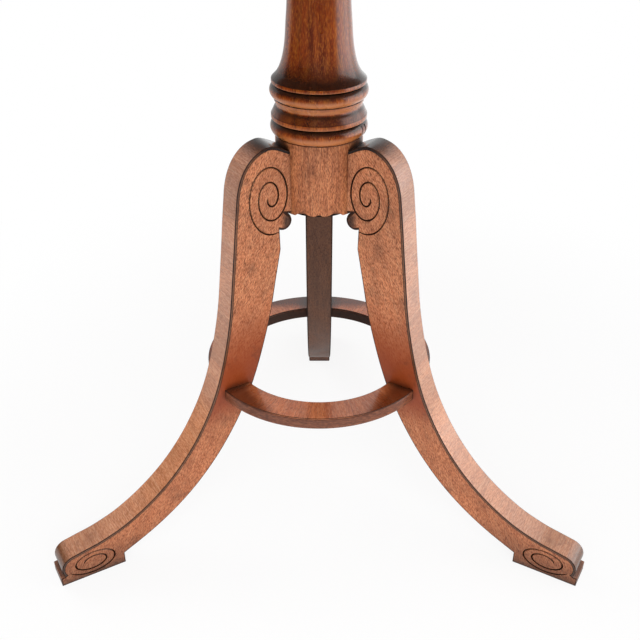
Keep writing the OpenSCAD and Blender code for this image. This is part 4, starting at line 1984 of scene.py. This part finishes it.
@dataclass
class Knob:
    """A turned brass knob with a plate, a waist and a head, screwed through a front.

    Attributes:
        radius: Radius of the plate and of the head's sphere.
        tall: How far it stands out from the front.
        plate: The plate's edge, outwards and along, in tenths of the radius.
        waist: The waist's line, in the same way.
        ball_at: Where the sphere's centre lies, in tenths of the radius.
        screw_r: Radius of its screw.
        nut_t: Thickness of the nut behind the front.
        nut_at: Distance of the nut from the screw's end.
    """

    radius: float = 10 * MM
    tall: float = 16.5 * MM
    plate: tuple[Point, ...] = ((9.6, 0), (10, 0.4), (10, 1.1), (9.3, 1.6))
    waist: tuple[Point, ...] = ((7.4, 1.7), (5.4, 2.6), (4.3, 4.4), (4.9, 6.4), (6.8, 8.2))
    ball_at: float = 8.8
    screw_r: float = 2.5 * MM
    nut_t: float = 3 * MM
    nut_at: float = 1.5 * MM

    def shape(self, back: float, end: float, height: float) -> Shape:
        """Turns a knob that stands out along +X.

        Args:
            back: Distance of the plate's back from the axis.
            end: Distance of the screw's end from the axis.
            height: Height of the knob's middle.

        Returns:
            The knob with its screw and nut.
        """
        tenth = self.radius / 10
        ball = (0, self.ball_at * tenth)
        profile = [
            Vector((0, end - back)),
            Vector((self.screw_r, end - back)),
            Vector((self.screw_r, 0)),
            *(tenth * Vector(point) for point in self.plate),
            *(tenth * point for point in smooth_curve(self.waist, 5)),
            *arc(ball, self.radius, 7, 47, 10),
            *arc(ball, self.radius, 50, 85, 7),
            Vector((0, self.tall)),
        ]
        # The sphere's end is turned off flat
        bm = spun([Vector((p.x, min(p.y, self.tall))) for p in profile], 48)
        nut = bmesh.ops.create_cone(
            bm,
            cap_ends=True,
            segments=6,
            radius1=2 * self.screw_r,
            radius2=2 * self.screw_r,
            depth=self.nut_t,
        )["verts"]
        bmesh.ops.translate(
            bm, verts=nut, vec=(0, 0, end - back + self.nut_at + self.nut_t / 2)
        )
        turned_by(bm, 90, "Y")
        bmesh.ops.translate(bm, verts=bm.verts, vec=(back, 0, height))
        return bm


@dataclass
class Drawer:
    """One of the four drawers.

    Attributes:
        letter: The drawer's letter.
        at: The direction that it opens in, in degrees.
    """

    letter: str
    at: int

    def build(self) -> None:
        """Builds the drawer's front, bead, box and knob."""
        body = f"drawer_{self.letter}"
        DRUM.front(f"drawer_front_{self.letter}", body)
        DRUM.bead(f"drawer_bead_{self.letter}", body)
        way = math.radians(self.at)
        out = Vector((math.cos(way), math.sin(way), 0))
        across = Vector((-out.y, out.x, 0))
        node = f"drawer_walls_{self.letter}"
        grain = straight_grain(out, self.at / 90)
        walls = Piece(node, body, Slot.DRAWER_WOOD, (LINING_WOOD,), grain)
        # Their groove ends just short of the front, so only their upper edges are rounded
        walls.copied(0.8 * MM, above=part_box(node)[1].z - 0.1 * MM)
        node = f"drawer_bottom_{self.letter}"
        grain = straight_grain(across, self.at / 70)
        Piece(node, body, Slot.DRAWER_WOOD, (LINING_WOOD,), grain).copied()
        DRUM.knobs(f"drawer_knob_{self.letter}", body, [self.at])


@dataclass
class Drum:
    """The revolving drum with four drawers between four dummy fronts.

    Attributes:
        radius: Radius over the fronts.
        bush_bore: Radius of the floor's hole for the bush.
        moulding_r: Radius of the half-round at the foot, and of the cove.
        steps: How many steps a full turn has at this size.
        drawers: Each drawer's letter and direction in degrees.
        dummies: Each dummy front's letter and direction in degrees.
    """

    radius: float = 345 * MM
    bush_bore: float = 13.05 * MM
    moulding_r: float = 5.5 * MM
    steps: int = 256
    drawers: tuple[tuple[str, int], ...] = (("a", 270), ("b", 0), ("c", 90), ("d", 180))
    dummies: tuple[tuple[str, int], ...] = (("a", 315), ("b", 45), ("c", 135), ("d", 225))

    def front(self, node: str, body: str) -> None:
        """Finishes a drawer's front, or a dummy one."""
        grain = hoop_grain(self.radius)
        Piece(node, body, Slot.MAHOGANY, (FRONT_WOOD,), grain).copied(0.3 * MM)

    def bead(self, node: str, body: str) -> None:
        """Rounds the cock beads round a front."""
        grain = hoop_grain(self.radius)
        Piece(node, body, Slot.CROSSBANDING, (MOULDING_WOOD,), grain).copied(1.1 * MM, 3)

    def knobs(self, node: str, body: str, ways: Sequence[int]) -> None:
        """Fits turned knobs in place of a node.

        Args:
            node: The CAD node of the knobs.
            body: The body that they ride on.
            ways: The directions that they face, in degrees.
        """
        low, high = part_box("drawer_knob_b")
        knob = Knob()
        whole = bmesh.new()
        for way in ways:
            bm = knob.shape(high.x - knob.tall, low.x, (low.z + high.z) / 2)
            turned_by(bm, way)
            add_shape(whole, bm)
        Piece(node, body, Slot.BRASS, (BRASS,)).built(whole)

    def mouldings(self) -> None:
        """Turns the half-round at the drum's foot and the cove under the top."""
        wall = self.radius + CLEAR
        low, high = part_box("foot_moulding")
        ledge = self.radius + 2 * MM
        middle = (high.x - self.moulding_r, low.z + 8 * MM)
        foot = [
            Vector((wall, low.z)),
            Vector((ledge, low.z)),
            Vector((ledge, low.z + 3 * MM)),
            *arc(middle, self.moulding_r, -65.4, 104.7, 20),
        ]
        low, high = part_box("cove_moulding")
        cove = [
            Vector((wall, low.z)),
            *arc((high.x, low.z), self.moulding_r, 180, 90, 12),
            Vector((high.x, high.z)),
            Vector((wall, high.z)),
        ]
        grain = hoop_grain(self.radius)
        for node, profile in (("foot_moulding", foot), ("cove_moulding", cove)):
            piece = Piece(node, "drum", Slot.MAHOGANY, (MOULDING_WOOD,), grain)
            piece.turned(profile, self.steps)

    def carcase(self) -> None:
        """Builds the floor, partitions, posts, roof and the inner blocks."""
        low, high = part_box("drum_floor_board")
        floor = [
            (self.bush_bore, low.z),
            (self.radius - 0.5 * MM, low.z),
            (self.radius, low.z + 0.5 * MM),
            (self.radius, high.z - 0.3 * MM),
            (self.radius - 0.3 * MM, high.z),
            (self.bush_bore, high.z),
        ]
        board = Piece("drum_floor_board", "drum", Slot.MAHOGANY, (MOULDING_WOOD,), SIDEWAYS)
        board.turned(floor, self.steps)
        Piece("partitions", "drum", Slot.MAHOGANY, (FRONT_WOOD,)).copied(0.3 * MM)
        roof = Piece("drum_roof_board", "drum", Slot.MAHOGANY, (MOULDING_WOOD,), SIDEWAYS)
        roof.copied()
        for node in ("corner_posts", "drawer_stops"):
            Piece(node, "drum", Slot.DRAWER_WOOD, (LINING_WOOD,)).copied(0.6 * MM)
        finish_node("bearing_bush", BRASS)
        finish_node("top_screws", STEEL)

    def build(self) -> None:
        """Builds the drum, its dummy fronts and its four drawers."""
        self.carcase()
        self.mouldings()
        for letter, _ in self.dummies:
            self.front(f"dummy_front_{letter}", "drum")
        self.bead("dummy_beads", "drum")
        self.knobs("dummy_knobs", "drum", [way for _, way in self.dummies])
        for letter, at in self.drawers:
            Drawer(letter, at).build()


DRUM = Drum()


@dataclass
class TableTop:
    """The top: a board with a moulded edge, a crossbanded rim and tooled leather.

    Attributes:
        nose_r: Radius of the edge's round nose.
        bead_r: Radius of the bead under it.
        lip: Rounding of the rim's edges.
        leather_lip: Rounding of the leather's edge.
        steps: How many steps a full turn has at this size.
        gilt_t: How far the gilding lies over the leather, and under it.
        lines: Each gilt line's distance from the leather's edge, and its width.
        border: Distance of the tooled flowers from the leather's edge.
        motifs: How many flowers and dots stand round the border.
        petal: Half the length and width of a petal.
        petal_out: Distance of a petal's middle from the flower's.
        dot_r: Radius of a dot.
    """

    nose_r: float = 6.5 * MM
    bead_r: float = 3.4 * MM
    lip: float = 0.3 * MM
    leather_lip: float = 0.4 * MM
    steps: int = 288
    gilt_t: float = 0.06 * MM
    lines: tuple[Point, ...] = (
        (9 * MM, 1.4 * MM), (12.5 * MM, 0.6 * MM), (30 * MM, 0.6 * MM), (33 * MM, 1.4 * MM)
    )
    border: float = 21.5 * MM
    motifs: int = 72
    petal: Point = (2.4 * MM, 1.1 * MM)
    petal_out: float = 3.2 * MM
    dot_r: float = 1.5 * MM

    def edge(self) -> None:
        """Turns the round nose over a small bead."""
        low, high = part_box("top_edge_moulding")
        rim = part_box("top_crossbanding")[1].x
        middle = high.x - self.nose_r
        profile = [
            Vector((rim, low.z)),
            *arc((middle, low.z + self.bead_r), self.bead_r, -90, 84, 16),
            Vector((middle, low.z + 2 * self.bead_r)),
            *arc((middle, high.z - self.nose_r), self.nose_r, -88, 90, 24),
            Vector((rim, high.z)),
        ]
        grain = hoop_grain(high.x)
        piece = Piece("top_edge_moulding", "drum", Slot.MAHOGANY, (MOULDING_WOOD,), grain)
        piece.turned(profile, self.steps)

    def rim(self, leather_r: float) -> None:
        """Lays the crossbanded rim.

        Args:
            leather_r: Radius at which the rim meets the leather.
        """
        low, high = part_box("top_crossbanding")
        profile = [
            (leather_r, low.z),
            (high.x, low.z),
            (high.x, high.z - self.lip),
            (high.x - self.lip, high.z),
            (leather_r + self.lip, high.z),
            (leather_r, high.z - self.lip),
        ]
        grain = radial_grain(leather_r)
        piece = Piece("top_crossbanding", "drum", Slot.CROSSBANDING, (BAND_WOOD,), grain)
        piece.turned(profile, self.steps)

    def leather(self) -> float:
        """Lays the leather.

        Returns:
            Its radius.
        """
        low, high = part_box("top_leather")
        profile = [
            (0, low.z),
            (high.x, low.z),
            (high.x, high.z - self.leather_lip),
            (high.x - self.leather_lip, high.z),
            (0, high.z),
        ]
        piece = Piece("top_leather", "drum", Slot.LEATHER, (GREEN_HIDE,))
        piece.turned(profile, self.steps)
        return high.x

    def tooling(self, radius: float) -> None:
        """Presses gilt lines and a ring of small flowers into the leather.

        Args:
            radius: The leather's radius.
        """
        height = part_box("top_leather")[1].z
        film = self.gilt_t
        whole = bmesh.new()
        for inset, width in self.lines:
            outer = radius - inset
            section = squared(outer - width, outer, height - film, height + film)
            add_shape(whole, spun(section, self.steps))
        turns = [Matrix.Rotation(math.tau * (p + 0.5) / 4, 4, "Z") for p in range(4)]
        pushed = Matrix.Translation((self.petal_out, 0, 0))
        petal = Matrix.Diagonal((*self.petal, film, 1))
        flower = [turn @ pushed @ petal for turn in turns]
        dot = [turns[0] @ Matrix.Diagonal((self.dot_r, self.dot_r, film, 1))]
        for k in range(self.motifs):
            turn = Matrix.Rotation(math.tau * k / self.motifs, 4, "Z")
            centre = turn @ Matrix.Translation((radius - self.border, 0, height))
            for shape in dot if k % 2 else flower:
                bmesh.ops.create_cone(
                    whole,
                    cap_ends=True,
                    segments=12,
                    radius1=1,
                    radius2=0.9,
                    depth=2,
                    matrix=centre @ shape,
                )
        Piece("leather_tooling", "drum", Slot.BRASS, (GILT,), added=True).built(whole)

    def build(self) -> None:
        """Builds the top from its board up."""
        Piece("top_board", "drum", Slot.MAHOGANY, (MOULDING_WOOD,), SIDEWAYS).copied()
        self.edge()
        radius = self.leather()
        self.rim(radius + CLEAR)
        self.tooling(radius)


# The studio


@dataclass(frozen=True)
class Lamp:
    """A soft box that faces the table, and that the camera doesn't see.

    Attributes:
        name: The lamp's name.
        at: Where it hangs.
        size: Its width and height.
        power: Its power in watts.
        mirrored: Whether polish mirrors it.
        aim: The point that it faces.
    """

    name: str
    at: tuple[float, float, float]
    size: tuple[float, float]
    power: float
    mirrored: bool = False
    aim: tuple[float, float, float] = (0, 0, 0.3)

    def hang(self) -> None:
        """Hangs the lamp in its place."""
        light = bpy.data.lights.new(self.name, "AREA")
        light.shape = "RECTANGLE"
        light.size, light.size_y = self.size
        light.energy = self.power
        lamp = bpy.data.objects.new(self.name, light)
        lamp.location = self.at
        way = Vector(self.aim) - Vector(self.at)
        lamp.rotation_euler = way.to_track_quat("-Z", "Y").to_euler()
        lamp.visible_camera = False
        lamp.visible_glossy = self.mirrored
        bpy.context.scene.collection.objects.link(lamp)


LAMPS = (
    # Two on the right, of which polish mirrors only the weaker one, so it isn't whitened
    Lamp("soft_box_right", (1.15, -0.03, 0.65), (1.3, 1.3), 5, mirrored=True),
    Lamp("soft_box_fill", (1.15, -0.03, 0.65), (1.3, 1.3), 6),
    Lamp("soft_box_left", (-1.15, 0.8, 0.7), (0.9, 1.3), 12.5),
    Lamp("soft_box_front", (0.1, -1.3, 1.15), (1.6, 0.8), 12),
    # This one lights the floor in front, which throws the light up from below
    Lamp("soft_box_floor", (0, -1.0, 0.5), (1.6, 0.5), 8, aim=(0, -1, 0)),
)


@dataclass
class Studio:
    """A white room, darker in front and overhead, on a white floor.

    Attributes:
        ambient: Strength of the room's own light on the table.
        lit_way: The direction towards the bright part of the room.
        dark: Brightness of its dark part, as polish mirrors it.
        left: Brightness of its left side.
        side_edge: Half the width of the change from its left side to its right one.
        overhead: Brightness of its upper part, as a share of the lower one's.
        upwards: How far up a direction points where that part starts, and is whole.
        paper: Brightness of the floor's paper, which lamps light near the table.
        glow: Distances from the table at which it starts to glow, and does so wholly.
        near: Radius of the pale floor round the table, as polish mirrors it.
        near_edge: Width of that floor's soft edge.
        near_pale: Brightness of that floor.
        camera_at: Where the camera stands.
        camera_pitch: Its angle from straight down, in degrees.
        lens: Its focal length in millimetres on its sensor.
        sensor: Width of the sensor in millimetres.
    """

    ambient: float = 0.42
    lit_way: tuple[float, float, float] = (0.4, 0.916, 0.0)
    dark: float = 0.03
    left: float = 0.5
    side_edge: float = 0.3
    overhead: float = 0.8
    upwards: Point = (0.02, 0.2)
    paper: float = 0.86
    glow: Point = (0.35, 0.9)
    near: float = 0.95
    near_edge: float = 0.2
    near_pale: float = 0.5
    camera_at: tuple[float, float, float] = (0.0009, -0.8, 0.7062)
    camera_pitch: float = 58.49
    lens: float = 50.25
    sensor: float = 36

    def lit(self, tree: Tree, place: Socket, edge: float) -> Socket:
        """Adds the room's brightness towards a place, from dark to 1.

        Args:
            tree: The material's or world's nodes.
            place: The place or direction.
            edge: Half the width of the change from dark to bright.

        Returns:
            The brightness.
        """
        towards = add_node(
            tree,
            "ShaderNodeVectorMath",
            {"operation": "DOT_PRODUCT"},
            {0: place, 1: self.lit_way},
        ).outputs["Value"]
        aside = add_node(tree, "ShaderNodeSeparateXYZ", {}, {"Vector": place}).outputs["X"]
        bright = add_node(
            tree,
            "ShaderNodeMapRange",
            EASED,
            {
                "Value": aside,
                "From Min": -self.side_edge,
                "From Max": self.side_edge,
                "To Min": self.left,
            },
        )
        change = {"Value": towards, "From Min": -edge, "From Max": edge}
        return add_node(
            tree,
            "ShaderNodeMapRange",
            EASED,
            change | {"To Min": self.dark, "To Max": bright.outputs[0]},
        ).outputs[0]

    def rays(self, tree: Tree) -> tuple[Socket, Socket]:
        """Tells the kinds of rays apart.

        Args:
            tree: The material's or world's nodes.

        Returns:
            A mask of camera and transmission rays, and one of glossy rays.
        """
        path = add_node(tree, "ShaderNodeLightPath")
        seen = add_node(
            tree,
            "ShaderNodeMath",
            {"operation": "MAXIMUM"},
            {0: path.outputs["Is Camera Ray"], 1: path.outputs["Is Transmission Ray"]},
        )
        return seen.outputs[0], path.outputs["Is Glossy Ray"]

    def room(self) -> None:
        """Builds the light of the room: white to the camera, shaded in what polish mirrors."""
        world = bpy.data.worlds.new("studio")
        bpy.context.scene.world = world
        world.use_nodes = True
        tree = world.node_tree
        tree.nodes.clear()
        way = add_node(tree, "ShaderNodeTexCoord").outputs["Generated"]
        seen, mirrored = self.rays(tree)
        height = add_node(tree, "ShaderNodeSeparateXYZ", {}, {"Vector": way}).outputs["Z"]
        upper = add_node(
            tree,
            "ShaderNodeMapRange",
            EASED,
            {
                "Value": height,
                "From Min": self.upwards[0],
                "From Max": self.upwards[1],
                "To Min": 1.0,
                "To Max": self.overhead,
            },
        )
        wall = add_node(
            tree,
            "ShaderNodeMath",
            {"operation": "MULTIPLY"},
            {0: self.lit(tree, way, edge=0.12), 1: upper.outputs[0]},
        )
        lighting = add_node(
            tree,
            "ShaderNodeMix",
            {},
            {0: mirrored, FLOAT_A: self.ambient, FLOAT_B: wall.outputs[0]},
        )
        strength = add_node(
            tree, "ShaderNodeMix", {}, {0: seen, FLOAT_A: lighting.outputs[0], FLOAT_B: 1.0}
        )
        glow = add_node(
            tree,
            "ShaderNodeBackground",
            {},
            {"Color": (1, 1, 1, 1), "Strength": strength.outputs[0]},
        )
        add_node(tree, "ShaderNodeOutputWorld", {}, {"Surface": glow.outputs[0]})

    def paper_material(self) -> bpy.types.Material:
        """Builds white paper: matt near the table, and glowing by itself far off.

        Returns:
            The paper's material.
        """
        material, tree = fresh_tree("studio_floor")
        place = add_node(tree, "ShaderNodeTexCoord").outputs["Object"]
        distance = add_node(
            tree, "ShaderNodeVectorMath", {"operation": "LENGTH"}, {0: place}
        ).outputs["Value"]
        seen, mirrored = self.rays(tree)
        far = add_node(
            tree,
            "ShaderNodeMapRange",
            EASED,
            {
                "Value": distance,
                "From Min": self.glow[0],
                "From Max": self.glow[1],
                "To Min": self.paper,
            },
        )
        round_table = add_node(
            tree,
            "ShaderNodeMapRange",
            EASED,
            {
                "Value": distance,
                "From Min": self.near + self.near_edge,
                "From Max": self.near,
                "To Max": self.near_pale,
            },
        )
        mirror_white = add_node(
            tree,
            "ShaderNodeMath",
            {"operation": "MAXIMUM"},
            {0: round_table.outputs[0], 1: self.lit(tree, place, edge=0.2)},
        )
        seen_share = add_node(
            tree, "ShaderNodeMix", {}, {0: seen, FLOAT_A: 0.0, FLOAT_B: far.outputs[0]}
        )
        share = add_node(
            tree,
            "ShaderNodeMix",
            {},
            {0: mirrored, FLOAT_A: seen_share.outputs[0], FLOAT_B: 1.0},
        )
        strength = add_node(
            tree,
            "ShaderNodeMix",
            {},
            {0: mirrored, FLOAT_A: 1.0, FLOAT_B: mirror_white.outputs[0]},
        )
        grey = (self.paper, self.paper, self.paper, 1)
        matt = add_node(tree, "ShaderNodeBsdfDiffuse", {}, {"Color": grey})
        glow = add_node(
            tree,
            "ShaderNodeEmission",
            {},
            {"Color": (1, 1, 1, 1), "Strength": strength.outputs[0]},
        )
        surface = add_node(
            tree,
            "ShaderNodeMixShader",
            {},
            {0: share.outputs[0], 1: matt.outputs[0], 2: glow.outputs[0]},
        )
        add_node(tree, "ShaderNodeOutputMaterial", {}, {"Surface": surface.outputs[0]})
        return material

    def floor(self) -> None:
        """Lays the floor."""
        bm = bmesh.new()
        bmesh.ops.create_grid(bm, x_segments=1, y_segments=1, size=9)
        mesh = bpy.data.meshes.new("floor")
        bm.to_mesh(mesh)
        bm.free()
        mesh.materials.append(self.paper_material())
        ground = bpy.data.objects.new("floor", mesh)
        bpy.context.scene.collection.objects.link(ground)

    def camera(self) -> None:
        """Stands the camera where the photograph was taken from."""
        lens = bpy.data.cameras.new("camera")
        lens.lens = self.lens
        lens.sensor_width = self.sensor
        view = bpy.data.objects.new("camera", lens)
        view.location = self.camera_at
        view.rotation_euler = (math.radians(self.camera_pitch), 0, 0)
        bpy.context.scene.collection.objects.link(view)
        bpy.context.scene.camera = view

    def build(self) -> None:
        """Builds the room, the floor, the lamps and the camera."""
        self.room()
        self.floor()
        for lamp in LAMPS:
            lamp.hang()
        self.camera()
        bpy.context.scene.view_settings.view_transform = "Standard"


def main() -> None:
    """Builds the table and the studio."""
    logging.basicConfig(level=logging.INFO, format="%(message)s")
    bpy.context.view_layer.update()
    Studio().build()
    Pedestal().build()
    DRUM.build()
    TableTop().build()


if __name__ == "__main__":
    main()
